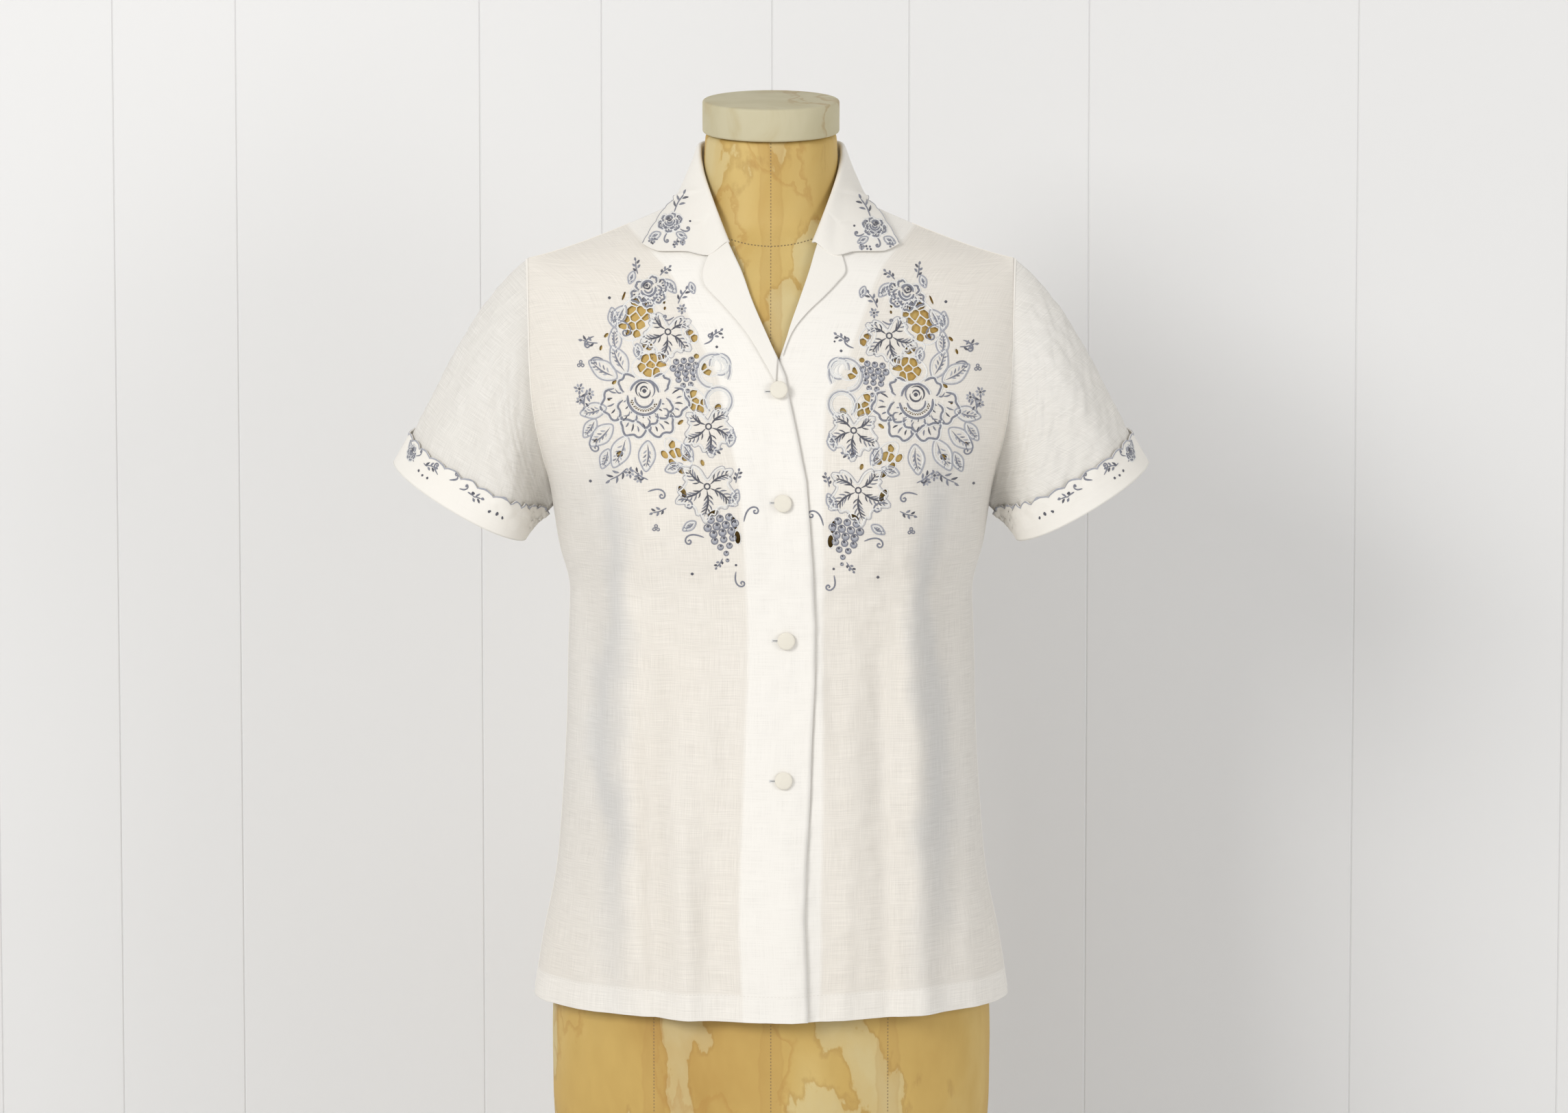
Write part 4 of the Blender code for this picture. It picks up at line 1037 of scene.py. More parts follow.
# %% Torso and neck
# The form below the waist and up to the bust, in mm: height, half width, front, back
FORM_ROWS = np.array((
    (150, 156, 104, 98), (158, 160, 108, 102), (205, 166.5, 112, 107), (260, 170.5, 115, 111),
    (330, 170, 114, 110), (400, 160, 109, 103), (470, 144, 101, 93), (540, 129, 94, 84),
    (595, 123, 91, 80), (635, 129, 95, 84), (672, 144, 106, 92), (706, 158, 113.5, 98),
), dtype=float)
FORM_UPPER = (9, 10, 11, 12, 12.5, 13, 13.5, 14, 14.5, 15, 15.5, 16, 16.4, 16.72)
FORM_ARMHOLE_INSET = 3.0 * MM
FORM_GAP = 0.9 * MM
FORM_NECK_GAP = 2.2 * MM
FORM_BUST_SHARE = 0.92
# Neck rings, in mm: height, half width, half depth, y of the middle
NECK_RINGS = np.array((
    (895, 88, 68, 2), (915, 73, 57, 1), (935, 60, 53, -1), (955, 53.6, 51, -3.5),
    (975, 51.8, 50.5, -6), (998, 50.6, 50, -9.5),
), dtype=float)
CAP_RADIUS = 52.6 * MM
CAP_BASE = Vector((0, -11.5, 998.1)) * MM
CAP_THICKNESS = 25 * MM
CAP_TILT = math.radians(9.5)
POST_RADIUS = 14 * MM
BASE_RADIUS = 150 * MM
BASE_THICKNESS = 24 * MM
BASE_EDGE = 5 * MM
FORM_SEGMENTS, FORM_LEVELS = 176, 160
NECK_SEGMENTS, NECK_LEVELS = 96, 40
MELT_SIZE = 3.6 * MM
SMOOTHINGS = 8


def form_half(side, level, around):
    lower = len(FORM_ROWS)
    if level < lower:
        z, half, front, back = FORM_ROWS[level] * MM
        angle = around * np.pi / 2.0
        depth = front if side == "front" else back
        x, y = half * np.sin(angle), depth * np.maximum(0.0, np.cos(angle)) ** BOW_POWER
        y = -(y + bust(x, z) * FORM_BUST_SHARE) if side == "front" else y
        return np.stack([x, y, np.full_like(x, z)], axis=-1)
    row = np.full_like(around, FORM_UPPER[level - lower])
    point = body_point(around, row, side)
    x = point[:, 0]
    near_neck = smooth(row - 13.5) * (1.0 - smooth((np.abs(x) - 62 * MM) / (35 * MM)))
    inset = FORM_GAP + FORM_NECK_GAP * near_neck
    point = point - body_normal(around, row, side) * inset[:, None]
    squeeze = 1.0 - FORM_ARMHOLE_INSET / (186 * MM) * smooth(np.abs(around) * 3.0 - 2.0)
    return point * np.stack([squeeze, np.ones_like(x), np.ones_like(x)], -1) - (0, 0, 0.4 * MM)


def closed_loft(name, rings):
    """A grid primitive whose rows are moved to the given rings, joined and capped."""
    rings = np.asarray(rings)
    piece = new_grid(name, np.concatenate([rings, rings[:, :1]], axis=1))
    bpy.ops.object.mode_set(mode="EDIT")
    bpy.ops.mesh.select_all(action="SELECT")
    bpy.ops.mesh.remove_doubles(threshold=0.005 * MM)
    bpy.ops.mesh.select_all(action="DESELECT")
    bpy.ops.mesh.select_non_manifold()
    bpy.ops.mesh.fill_holes(sides=0)
    bpy.ops.mesh.select_all(action="SELECT")
    bpy.ops.mesh.normals_make_consistent(inside=False)
    bpy.ops.object.mode_set(mode="OBJECT")
    return piece


sweep = np.linspace(-1.0, 1.0, FORM_SEGMENTS // 2 + 1)
levels = []
for level in range(len(FORM_ROWS) + len(FORM_UPPER)):
    front, back = form_half("front", level, sweep), form_half("back", level, sweep)
    levels.append(np.concatenate([front[:-1], back[::-1][:-1]]))
at = np.linspace(0.0, len(levels) - 1.0, FORM_LEVELS)
flat = np.array(levels).reshape(len(levels), -1)
torso = closed_loft("form_torso_skin", curve_value(flat, at).reshape(len(at), -1, 3))

rings = []
neck_base, neck_top = NECK_RINGS[0][0], NECK_RINGS[-1][0]
angle = np.linspace(0.0, 2.0 * np.pi, NECK_SEGMENTS, endpoint=False)
for z, wide, deep, y in curve_value(NECK_RINGS, np.linspace(0, len(NECK_RINGS) - 1.0, NECK_LEVELS)):
    dy = deep * np.sin(angle)
    tilt = math.tan(CAP_TILT) * (z - neck_base) / (neck_top - neck_base)
    rings.append(np.stack([wide * np.cos(angle), y + dy, z + dy * tilt], -1) * MM)
neck = closed_loft("form_neck_skin", rings)
deselect()
torso.select_set(True)
neck.select_set(True)
bpy.context.view_layer.objects.active = torso
bpy.ops.object.join()
torso.name = torso.data.name = "form_torso_skin"
apply_modifier(torso, "REMESH", mode="VOXEL", voxel_size=MELT_SIZE)
apply_modifier(torso, "SMOOTH", factor=0.5, iterations=SMOOTHINGS)
bpy.ops.object.shade_smooth()
settle(torso, "form_cloth", "form_torso")
print("torso faces:", len(torso.data.polygons))

# %% Cap, post and foot
def turned_part(name, radius, thickness, edge, place, tilt, segments, steps):
    """A cylinder standing at a place, with its edges rounded in a few steps."""
    deselect()
    bpy.ops.mesh.primitive_cylinder_add(vertices=segments, radius=radius, depth=thickness)
    piece = bpy.context.object
    piece.name = piece.data.name = name
    turn = Vector((0.0, -math.sin(tilt), math.cos(tilt))).to_track_quat("Z", "X")
    matrix = turn.to_matrix().to_4x4()
    matrix.translation = place + (turn @ Vector((0.0, 0.0, thickness / 2.0)))
    piece.data.transform(matrix)
    if edge:
        apply_modifier(piece, "BEVEL", width=edge, segments=steps, limit_method="ANGLE")
    bpy.ops.object.shade_smooth_by_angle(angle=math.radians(40.0))
    return piece


cap = turned_part("form_cap_paper", CAP_RADIUS, CAP_THICKNESS, 2.0 * MM, CAP_BASE, CAP_TILT, 96, 4)
settle(cap, "form_cap", "form_neck_cap")
bottom = FORM_ROWS[0][0] * MM
post = turned_part("form_post_iron", POST_RADIUS, bottom - BASE_THICKNESS - 0.6 * MM, 0.0,
                   Vector((0.0, 0.0, BASE_THICKNESS + 0.3 * MM)), 0.0, 48, 0)
settle(post, "iron", "form_post")
foot = turned_part("form_foot_iron", BASE_RADIUS, BASE_THICKNESS, BASE_EDGE,
                   Vector((0.0, 0.0, 0.0)), 0.0, 128, 5)
settle(foot, "iron", "form_base")
print("form pieces: torso, cap, post, foot")

# %% [markdown]
# ## Finishes
# Everything here is drawn from the piece's own map in metres or from its place on the
# model: woven linen with thicker threads here and there, doubled cloth where a hem or a
# facing lies behind, satin thread, old varnished cloth with water stains, and cast iron.

# %% Node helpers
def new_group(name, inputs, outputs):
    """An empty node group with named sockets."""
    group = bpy.data.node_groups.new(name, "ShaderNodeTree")
    for label, kind in inputs:
        group.interface.new_socket(label, in_out="INPUT", socket_type=kind)
    for label, kind in outputs:
        group.interface.new_socket(label, in_out="OUTPUT", socket_type=kind)
    return group, group.nodes.new("NodeGroupInput"), group.nodes.new("NodeGroupOutput")


def add_noise(tree, source, scale, stretch=(1.0, 1.0, 1.0), detail=2.0, warp=0.0):
    place = tree.nodes.new("ShaderNodeMapping")
    place.inputs["Scale"].default_value = stretch
    noise = tree.nodes.new("ShaderNodeTexNoise")
    noise.inputs["Scale"].default_value = scale
    noise.inputs["Detail"].default_value = detail
    noise.inputs["Distortion"].default_value = warp
    tree.links.new(source, place.inputs["Vector"])
    tree.links.new(place.outputs["Vector"], noise.inputs["Vector"])
    return noise.outputs["Fac"]


def add_math(tree, kind, a, b=None, clamp=False):
    node = tree.nodes.new("ShaderNodeMath")
    node.operation = kind
    node.use_clamp = clamp
    for socket, value in zip(node.inputs, (a, b)):
        if value is None:
            continue
        if isinstance(value, (int, float)):
            socket.default_value = value
        else:
            tree.links.new(value, socket)
    return node.outputs[0]


def add_ramp(tree, value, stops, smooth_steps=True):
    ramp = tree.nodes.new("ShaderNodeValToRGB")
    ramp.color_ramp.interpolation = "EASE" if smooth_steps else "LINEAR"
    points = ramp.color_ramp.elements
    points[0].position, points[1].position = stops[0][0], stops[-1][0]
    for _ in stops[1:-1]:
        points.new(0.5)
    for point, (at, colour) in zip(points, stops):
        point.position = at
        point.color = (*colour, 1.0) if isinstance(colour, tuple) else (colour,) * 3 + (1.0,)
    tree.links.new(value, ramp.inputs["Fac"])
    return ramp.outputs["Color"]


def add_mix(tree, share, a, b, kind="MIX"):
    mix = tree.nodes.new("ShaderNodeMix")
    mix.data_type = "RGBA"
    mix.blend_type = kind
    for socket, value in ((mix.inputs[0], share), (mix.inputs[6], a), (mix.inputs[7], b)):
        if isinstance(value, tuple):
            socket.default_value = (*value, 1.0)
        elif isinstance(value, (int, float)):
            socket.default_value = value
        else:
            tree.links.new(value, socket)
    return mix.outputs[2]


def add_product(tree, *factors):
    """The product of two or more values."""
    out = factors[0]
    for factor in factors[1:]:
        out = add_math(tree, "MULTIPLY", out, factor)
    return out


def add_parts(tree, source):
    parts = tree.nodes.new("ShaderNodeSeparateXYZ")
    tree.links.new(source, parts.inputs[0])
    return parts.outputs


def add_dashes(tree, value, pitch, above):
    """1 on the dashes of a dotted line and 0 between them."""
    return add_math(tree, "GREATER_THAN", add_math(tree, "SINE", add_product(tree, value, pitch)),
                    above)


def new_finish(name):
    material = bpy.data.materials.new(name)
    material.use_nodes = True
    tree = material.node_tree
    place = tree.nodes.new("ShaderNodeTexCoord")
    return material, tree, tree.nodes["Principled BSDF"], place.outputs


def set_surface(tree, shader, colour, values):
    tree.links.new(colour, shader.inputs["Base Color"])
    for name, value in values.items():
        shader.inputs[name].default_value = value


def add_bump(tree, shader, height, distance, strength=1.0):
    bump = tree.nodes.new("ShaderNodeBump")
    bump.inputs["Distance"].default_value = distance
    bump.inputs["Strength"].default_value = strength
    tree.links.new(height, bump.inputs["Height"])
    tree.links.new(bump.outputs["Normal"], shader.inputs["Normal"])


def assign(pieces, material):
    for piece in pieces:
        piece.data.materials.clear()
        piece.data.materials.append(material)


# %% The weave, shared by every linen piece
weave, weave_in, weave_out = new_group(
    "linen_weave", [("Map", "NodeSocketVector")],
    [("Slub", "NodeSocketFloat"), ("Thread", "NodeSocketFloat")])
WARP_GRAIN, WEFT_GRAIN = (1700.0, 46.0, 1.0), (38.0, 1900.0, 1.0)
THREADS_PER_METRE = 2400.0
warp_slub = add_noise(weave, weave_in.outputs["Map"], 1.0, WARP_GRAIN)
weft_slub = add_noise(weave, weave_in.outputs["Map"], 1.0, WEFT_GRAIN)
both = add_math(weave, "ADD", add_product(weave, warp_slub, 0.45),
                add_product(weave, weft_slub, 0.55))
weave.links.new(both, weave_out.inputs["Slub"])
over, under = (add_math(weave, "SINE", add_product(weave, part, THREADS_PER_METRE * 2.0 * math.pi))
               for part in add_parts(weave, weave_in.outputs["Map"])[:2])
weave.links.new(add_product(weave, over, under), weave_out.inputs["Thread"])

# %% Linen
LINEN_LIGHT, LINEN_DEEP = (0.910, 0.872, 0.812), (0.874, 0.835, 0.773)
FACING_LIGHT, FACING_DEEP = (0.845, 0.822, 0.777), (0.820, 0.796, 0.750)
HEM_WIDTH = 21 * MM
FACING_WIDTH = 51 * MM
# How much paler and closer a hem and a facing look than one layer
HEM_SHARE, FACING_SHARE = 0.40, 0.80
# The tints of random wear, of the painted shade at the sides, and of stitch lines
WORN_TINT, SHADE_TINT, STITCH_TINT = (0.86, 0.80, 0.69), (0.79, 0.82, 0.87), (0.62, 0.58, 0.52)


def linen(name, light, deep, opaque, doubled_up=None, doubled_across=None, painted_side_shade=False):
    """Linen on the map in metres; opaque is the mean share of the light that a face stops."""
    material, tree, shader, place = new_finish(name)
    group = tree.nodes.new("ShaderNodeGroup")
    group.node_tree = weave
    tree.links.new(place["UV"], group.inputs["Map"])
    slub, thread = group.outputs["Slub"], group.outputs["Thread"]
    across, up = add_parts(tree, place["UV"])[:2]
    at = add_parts(tree, place["Object"])
    streak = add_ramp(tree, slub, ((0.30, 0.0), (0.50, 0.55), (0.68, 1.0)))
    colour = add_mix(tree, streak, deep, light)
    wide = add_noise(tree, place["Object"], 9.0, detail=3.0)
    colour = add_mix(tree, add_product(tree, wide, 0.28), colour, WORN_TINT, "MULTIPLY")
    double = None
    if doubled_up:
        double = add_ramp(tree, add_math(tree, "DIVIDE", up, doubled_up * 1.1),
                          ((0.86, HEM_SHARE), (0.95, 0.0)))
    if doubled_across:
        strip = add_ramp(tree, add_math(tree, "DIVIDE", across, doubled_across * 1.1),
                         ((0.86, FACING_SHARE), (0.95, 0.0)))
        double = add_math(tree, "MAXIMUM", double, strip)
    if painted_side_shade:
        # Painted shade: off the form at the sides no warm varnish shows through, and the cloth
        # falls back in shade, so its colour is darkened and cooled there.
        soft = add_product(tree, add_math(tree, "SUBTRACT", wide, 0.5), 60 * MM)
        aside = add_math(tree, "ADD", add_math(tree, "ABSOLUTE", at[0]), soft)
        side_shade_mask = add_ramp(tree, add_product(tree, aside, 5.0),
                          ((0.50, 0.0), (0.61, 1.0), (0.70, 0.45)))
        height = add_ramp(tree, at[2], ((0.34, 0.35), (0.50, 1.0), (0.70, 1.0), (0.79, 0.0)))
        colour = add_mix(tree, add_product(tree, side_shade_mask, height, 0.85), colour, SHADE_TINT,
                         "MULTIPLY")
    if double is not None:
        colour = add_mix(tree, double, colour, add_mix(tree, streak, FACING_DEEP, FACING_LIGHT))
        line = add_math(tree, "COMPARE", up, doubled_up - 1.0 * MM)
        line.node.inputs[2].default_value = 0.28 * MM
        stitch = add_product(tree, line, add_dashes(tree, across, 2100.0, -0.2), 0.35)
        colour = add_mix(tree, stitch, colour, STITCH_TINT)
    set_surface(tree, shader, colour, {"Roughness": 0.88, "Sheen Weight": 0.12,
                                       "Specular IOR Level": 0.25})
    if opaque < 1.0:
        see = add_math(tree, "ADD", add_product(tree, slub, 0.5), opaque - 0.25)
        if double is not None:
            see = add_math(tree, "ADD", see, add_product(tree, double, 0.24), clamp=True)
        tree.links.new(see, shader.inputs["Alpha"])
    height = add_math(tree, "ADD", add_product(tree, thread, 0.12), slub)
    if double is not None:
        height = add_math(tree, "ADD", height, add_product(tree, double, 1.5))
    add_bump(tree, shader, height, 0.12 * MM, 0.7)
    return material


# Finishes of the linen: pieces, light and deep colour, opacity, hem, facing, painted side shade or
# not
LINENS = {
    "linen_fronts": (("front_right", "front_left"), LINEN_LIGHT, LINEN_DEEP, 0.82,
                     HEM_WIDTH, FACING_WIDTH, True),
    "linen_back": (("back",), LINEN_LIGHT, LINEN_DEEP, 0.82, HEM_WIDTH),
    "linen_sleeves": (("sleeve_right", "sleeve_left"), (0.875, 0.857, 0.822),
                      (0.815, 0.797, 0.760), 0.78),
    "linen_doubled": (("collar", "cuff_right", "cuff_left", "lapel_right", "lapel_left"),
                      FACING_LIGHT, FACING_DEEP, 1.0),
    "linen_buttons": (("button_1", "button_2", "button_3", "button_4"),
                      (0.82, 0.785, 0.70), (0.76, 0.725, 0.635), 1.0),
}
for name, (owners, *values) in LINENS.items():
    assign([cloth[owner] for owner in owners], linen(name, *values))

# %% Old varnished cloth of the form
NECK_SEAM_HEIGHT, NECK_SEAM_BOW = 0.911, 5.5
SEAM_PLACES = (0.0, 0.089, -0.089)
SEAM_DASHES = 2500.0
LOWER_FORM = 0.42


def aged_cloth(name):
    """Ochre varnish with paler bare patches, brown tide lines and dotted seams."""
    material, tree, shader, place = new_finish(name)
    here = place["Object"]
    broad = add_noise(tree, here, 7.0, (1.0, 1.0, 0.55), 5.0, 0.6)
    colour = add_ramp(tree, broad, ((0.30, (0.50, 0.315, 0.085)), (0.48, (0.585, 0.395, 0.12)),
                                    (0.62, (0.64, 0.465, 0.17)), (0.75, (0.54, 0.37, 0.12))))
    fine = add_noise(tree, here, 60.0, (1.0, 1.0, 0.5), 4.0)
    runs = add_noise(tree, here, 13.0, (1.5, 1.5, 0.62), 9.0, 0.25)
    stain = add_noise(tree, here, 8.0, (1.3, 1.3, 0.8), 8.0, 0.4)
    bare = add_ramp(tree, runs, ((0.555, 0.0), (0.568, 0.7), (0.66, 1.0)))
    rim = add_ramp(tree, runs, ((0.530, 0.0), (0.556, 1.0), (0.565, 0.0)))
    edge = add_ramp(tree, stain, ((0.565, 0.0), (0.592, 1.0), (0.598, 0.15), (0.68, 0.35)))
    for layer, share, tint, kind in ((fine, 0.35, (0.60, 0.52, 0.34), "MULTIPLY"),
                                     (bare, 0.58, (0.62, 0.55, 0.32), "MIX"),
                                     (rim, 0.34, (0.34, 0.19, 0.05), "MIX"),
                                     (edge, 0.42, (0.42, 0.22, 0.05), "MIX")):
        colour = add_mix(tree, add_product(tree, layer, share), colour, tint, kind)
    x, y, z = add_parts(tree, here)
    wander = add_noise(tree, here, 26.0, (0.0, 0.0, 1.0), 4.0)
    drift = add_product(tree, add_math(tree, "SUBTRACT", wander, 0.5), 16 * MM)
    front = add_math(tree, "LESS_THAN", y, 0.0)

    def dotted(colour, off, along, half, above, share, tint):
        line = add_product(tree, add_math(tree, "LESS_THAN", off, half),
                           add_dashes(tree, along, SEAM_DASHES, above), front, share)
        return add_mix(tree, line, colour, tint)

    for centre in SEAM_PLACES:
        off = add_math(tree, "ABSOLUTE", add_math(tree, "SUBTRACT", x, centre))
        tide = add_ramp(tree, add_product(tree, add_math(tree, "ADD", off, drift), 60.0),
                        ((0.0, 0.6), (0.36, 0.75), (0.46, 1.0), (0.55, 0.0)))
        lower = add_math(tree, "LESS_THAN", z, LOWER_FORM) if centre else front
        colour = add_mix(tree, add_product(tree, tide, lower, 0.30), colour, (0.42, 0.24, 0.065))
        colour = dotted(colour, off, z, 0.42 * MM, -0.1, 0.75, (0.17, 0.12, 0.07))
    seam = add_math(tree, "ADD", add_product(tree, x, x, NECK_SEAM_BOW), NECK_SEAM_HEIGHT)
    off = add_math(tree, "ABSOLUTE", add_math(tree, "SUBTRACT", z, seam))
    colour = dotted(colour, off, x, 0.45 * MM, -0.2, 0.8, (0.15, 0.11, 0.06))
    set_surface(tree, shader, colour, {"Roughness": 0.62, "Specular IOR Level": 0.35})
    threads = add_noise(tree, here, 1.0, (900.0, 900.0, 900.0), 1.0)
    add_bump(tree, shader, add_math(tree, "ADD", add_product(tree, threads, 0.4), bare),
             0.18 * MM, 0.6)
    return material


assign([torso], aged_cloth("form_varnish"))

# %% Cap and iron
material, tree, shader, place = new_finish("cap_paper")
mottle = add_noise(tree, place["Object"], 22.0, detail=6.0, warp=0.5)
colour = add_ramp(tree, mottle, ((0.30, (0.47, 0.40, 0.24)), (0.46, (0.505, 0.455, 0.295)),
                                 (0.60, (0.535, 0.485, 0.325)), (0.74, (0.48, 0.41, 0.24))))
tide = add_ramp(tree, add_noise(tree, place["Object"], 9.0, detail=5.0, warp=0.4),
                ((0.53, 0.0), (0.555, 1.0), (0.565, 0.0)))
colour = add_mix(tree, add_product(tree, tide, 0.5), colour, (0.36, 0.23, 0.09))
set_surface(tree, shader, colour, {"Roughness": 0.66})
add_bump(tree, shader, mottle, 0.25 * MM, 0.5)
assign([cap], material)

material, tree, shader, place = new_finish("foot_iron")
grain = add_noise(tree, place["Object"], 140.0, detail=4.0)
colour = add_ramp(tree, grain, ((0.35, (0.030, 0.029, 0.028)), (0.65, (0.075, 0.070, 0.064))))
set_surface(tree, shader, colour, {"Metallic": 0.6, "Roughness": 0.5})
add_bump(tree, shader, grain, 0.2 * MM, 0.5)
assign([post, foot], material)
print("finishes made")

# %% [markdown]
# ## Embroidery
# The motif is worked before the fronts are sewn: roses, vine leaves, grapes, small flowers
# and curls in satin stitch and stem stitch, in greyed blues, with white buttonhole stitch
# around the open work. Each motif is worked out from its place, its size and its turn on the
# wearer's right front, and the other front has its mirror image. A stroke stands a few
# tenths of a millimetre above the cloth, as padded satin stitch does.

# %% From strokes to raised threads
STEP = 1.1 * MM
CORD, CORD_AWAY = 0.9 * MM, 1.35 * MM
VEIN_STEP, VEIN_REACH, VEIN_COS, VEIN_SIN = 3.3 * MM, 6.0 * MM, 0.80, 0.60
RAISED = {"dark": 0.42, "mid": 0.40, "pale": 0.34, "white": 0.46}
PROFILE = np.array((-1.0, -0.72, 0.0, 0.72, 1.0))
BUMP_UP = np.array((-0.15, 0.66, 1.0, 0.66, -0.15))


def stroke(points, width, kind, closed=False):
    """Centre line and half widths of a stroke: a stem keeps its width, a leaf is pointed."""
    points = np.array(points, dtype=float)
    if closed:
        length = run_along(np.concatenate([points, points[:1]]))[-1]
        at = np.linspace(0.0, float(len(points)), max(8, int(length / STEP)) + 1)
        start = np.minimum(at.astype(int), len(points) - 1)
        t = (at - start)[:, None]
        ring = lambda k: points[(start + k) % len(points)]
        lean_in, lean_out = (ring(1) - ring(-1)) / 2.0, (ring(2) - ring(0)) / 2.0
        centre = ((2 * t**3 - 3 * t**2 + 1) * ring(0) + (t**3 - 2 * t**2 + t) * lean_in
                  + (3 * t**2 - 2 * t**3) * ring(1) + (t**3 - t**2) * lean_out)
        return centre, np.full(len(centre), width / 2.0)
    if len(points) == 2:
        bend = np.array((points[0][1] - points[1][1], points[1][0] - points[0][0])) * 0.07
        points = np.array([points[0], points.mean(axis=0) + bend, points[1]])
    chord = np.concatenate([2 * points[:1] - points[1:2], points,
                            2 * points[-1:] - points[-2:-1]])
    length = run_along(points)[-1]
    count = max(5, int(length / STEP) + 1)
    at = np.linspace(0.0, len(points) - 1.0, count)
    start = np.minimum(at.astype(int), len(points) - 2)
    t = (at - start)[:, None]
    a, b, c, d = (chord[start + k] for k in range(4))
    centre = 0.5 * (2 * b + (c - a) * t + (2 * a - 5 * b + 4 * c - d) * t**2
                    + (3 * b - a - 3 * c + d) * t**3)
    share = np.linspace(0.0, 1.0, count)
    if kind == "leaf":
        half = np.sin(np.pi * np.clip(share, 0.02, 0.98)) ** 0.72
    elif kind == "dot":
        half = np.sqrt(np.maximum(0.02, 1.0 - (2.0 * share - 1.0) ** 2))
    else:
        end = min(0.5, 1.4 * width / max(length, 1e-6))
        half = 0.45 + 0.55 * smooth(np.minimum(share, 1.0 - share) / end)
    return centre, half * width / 2.0


def beside(line, away):
    """The same line moved sideways, for the white cord that runs along an outline."""
    ahead = np.gradient(line, axis=0)
    return line + unit(np.stack([ahead[:, 1], -ahead[:, 0]], -1)) * away


def side_veins(line, width):
    """Short pointed leaflets on both sides of a leaf's main vein, longest near its middle."""
    run = run_along(line)
    out = []
    for k, far in enumerate(np.arange(VEIN_STEP, run[-1] - 0.5 * VEIN_STEP, VEIN_STEP)):
        spot, ahead = spot_and_heading(line, run, far)
        long = VEIN_REACH * math.sin(math.pi * (0.22 + 0.66 * far / run[-1]))
        for side in (-1.0, 1.0):
            aside = np.array((ahead[0] * VEIN_COS - ahead[1] * VEIN_SIN * side,
                              ahead[1] * VEIN_COS + ahead[0] * VEIN_SIN * side))
            first = spot + aside * 0.7 * MM
            ends = [first, first + aside * long]
            out.append(("mid" if k % 3 else "dark", *stroke(ends, width, "leaf")))
    return out


def dot(thread, x, z, radius):
    return (thread, *stroke([(x - radius, z), (x, z), (x + radius, z)], 2.0 * radius, "dot"))


def circle(thread, x, z, radius, width):
    return (thread, *stroke(turned_ellipse(x, z, radius, radius, 0.0, 8), width, "stem",
                            closed=True))


# %% Motifs, each worked out from its place, its size and its turn
def placed(points, spot):
    """Points in mm about a motif's own middle, turned, mirrored and moved to its place."""
    x, z, turn, flip = spot
    moved = [turned(a * flip, b, x, z, turn) for a, b in points]
    return [(u * MM, w * MM) for u, w in moved]


def worked(thread, width, points, spot, kind="stem", closed=False):
    """One stroke of a motif; a pale or middle outline has a white cord along it."""
    centre, half = stroke(placed(points, spot), width * MM, kind, closed)
    out = [(thread, centre, half)]
    if kind == "stem" and thread != "dark" and len(points) > 5:
        out.append(("white", beside(centre, CORD_AWAY), np.full(len(centre), CORD / 2.0)))
    return out


def polar(radius, degrees):
    return radius * math.cos(math.radians(degrees)), radius * math.sin(math.radians(degrees))


# A rose seen half from above. Its heart and its cup are arcs: radius, start, end, width
HEART = ((0.08, 20, 200, 1.5), (0.13, 190, 372, 1.6), (0.18, 60, 225, 1.5), (0.22, -40, 95, 1.4))
CUP = ((0.34, 15, 160, 1.7), (0.385, 178, 352, 2.0), (0.215, 186, 344, 1.5))
# Its petals stand in two rows: middle, spread in degrees, reach
PETALS = ((196, 58, 1.0), (250, 54, 0.95), (302, 52, 0.98), (350, 52, 1.0), (38, 48, 0.66),
          (144, 52, 0.66), (222, 62, 0.70), (278, 60, 0.68), (328, 56, 0.70))
NOTCH = 0.72
HEART_LIFT, CUP_LIFT = 0.30, 0.18


def rose(size, spot):
    """A full rose: a rolled heart, a cup with its lip round it and two rows of waved petals."""
    def about(points, lift=CUP_LIFT):
        return [(a, b + lift * size) for a, b in points]

    def arc(radius, start, end, swell):
        return [polar(size * (radius + swell * math.sin(math.pi * t / 7.0)),
                      start + (end - start) * t / 7.0) for t in range(8)]

    out = [dot("dark", *(placed([(0.0, HEART_LIFT * size)], spot)[0]), 0.05 * size * MM)]
    for radius, start, end, width in HEART:
        out += worked("dark" if width > 1.4 else "mid", width,
                      about(arc(radius, start, end, 0.02), HEART_LIFT), spot, "leaf")
    for radius, start, end, width in CUP:
        out += worked("mid", width, about(arc(radius, start, end, 0.03)), spot)
    for k in range(9):
        lean, far = 192 + 18 * k, 0.50 + 0.03 * (k % 2)
        out += worked("dark" if k % 3 == 1 else "mid", 1.2,
                      about([polar(size * 0.41, lean), polar(size * far, lean + 4)]), spot, "leaf")
    for n, (middle, wide, reach) in enumerate(PETALS):
        edge = []
        for t in range(11):
            share = t / 10.0
            bulge = math.sin(math.pi * share) ** 0.6
            wave = 0.05 * math.sin(5.0 * math.pi * share + 2.0 * n) * bulge
            edge.append(polar(size * reach * (NOTCH + (1.0 - NOTCH) * bulge + wave),
                              middle + wide * (share - 0.5)))
        out += worked("mid", 1.6, about(edge), spot)
        if reach < 0.9:
            continue
        near = middle - wide / 2.0
        out += worked("mid", 1.3, about([polar(size * 0.70 * reach, near),
                                         polar(size * 0.60 * reach, near + 7),
                                         polar(size * 0.50 * reach, near + 3)]), spot, "leaf")
        for t in (-2, -1, 0, 1, 2):
            lean = middle + wide * t * 0.17
            last = reach * (0.90 - 0.035 * abs(t))
            first = last - (0.13 if t % 2 else 0.19)
            out += worked("dark" if (t + n) % 2 else "mid", 1.4,
                          about([polar(size * first, lean - 2), polar(size * last, lean + 2 * t)]),
                          spot, "leaf")
    return out


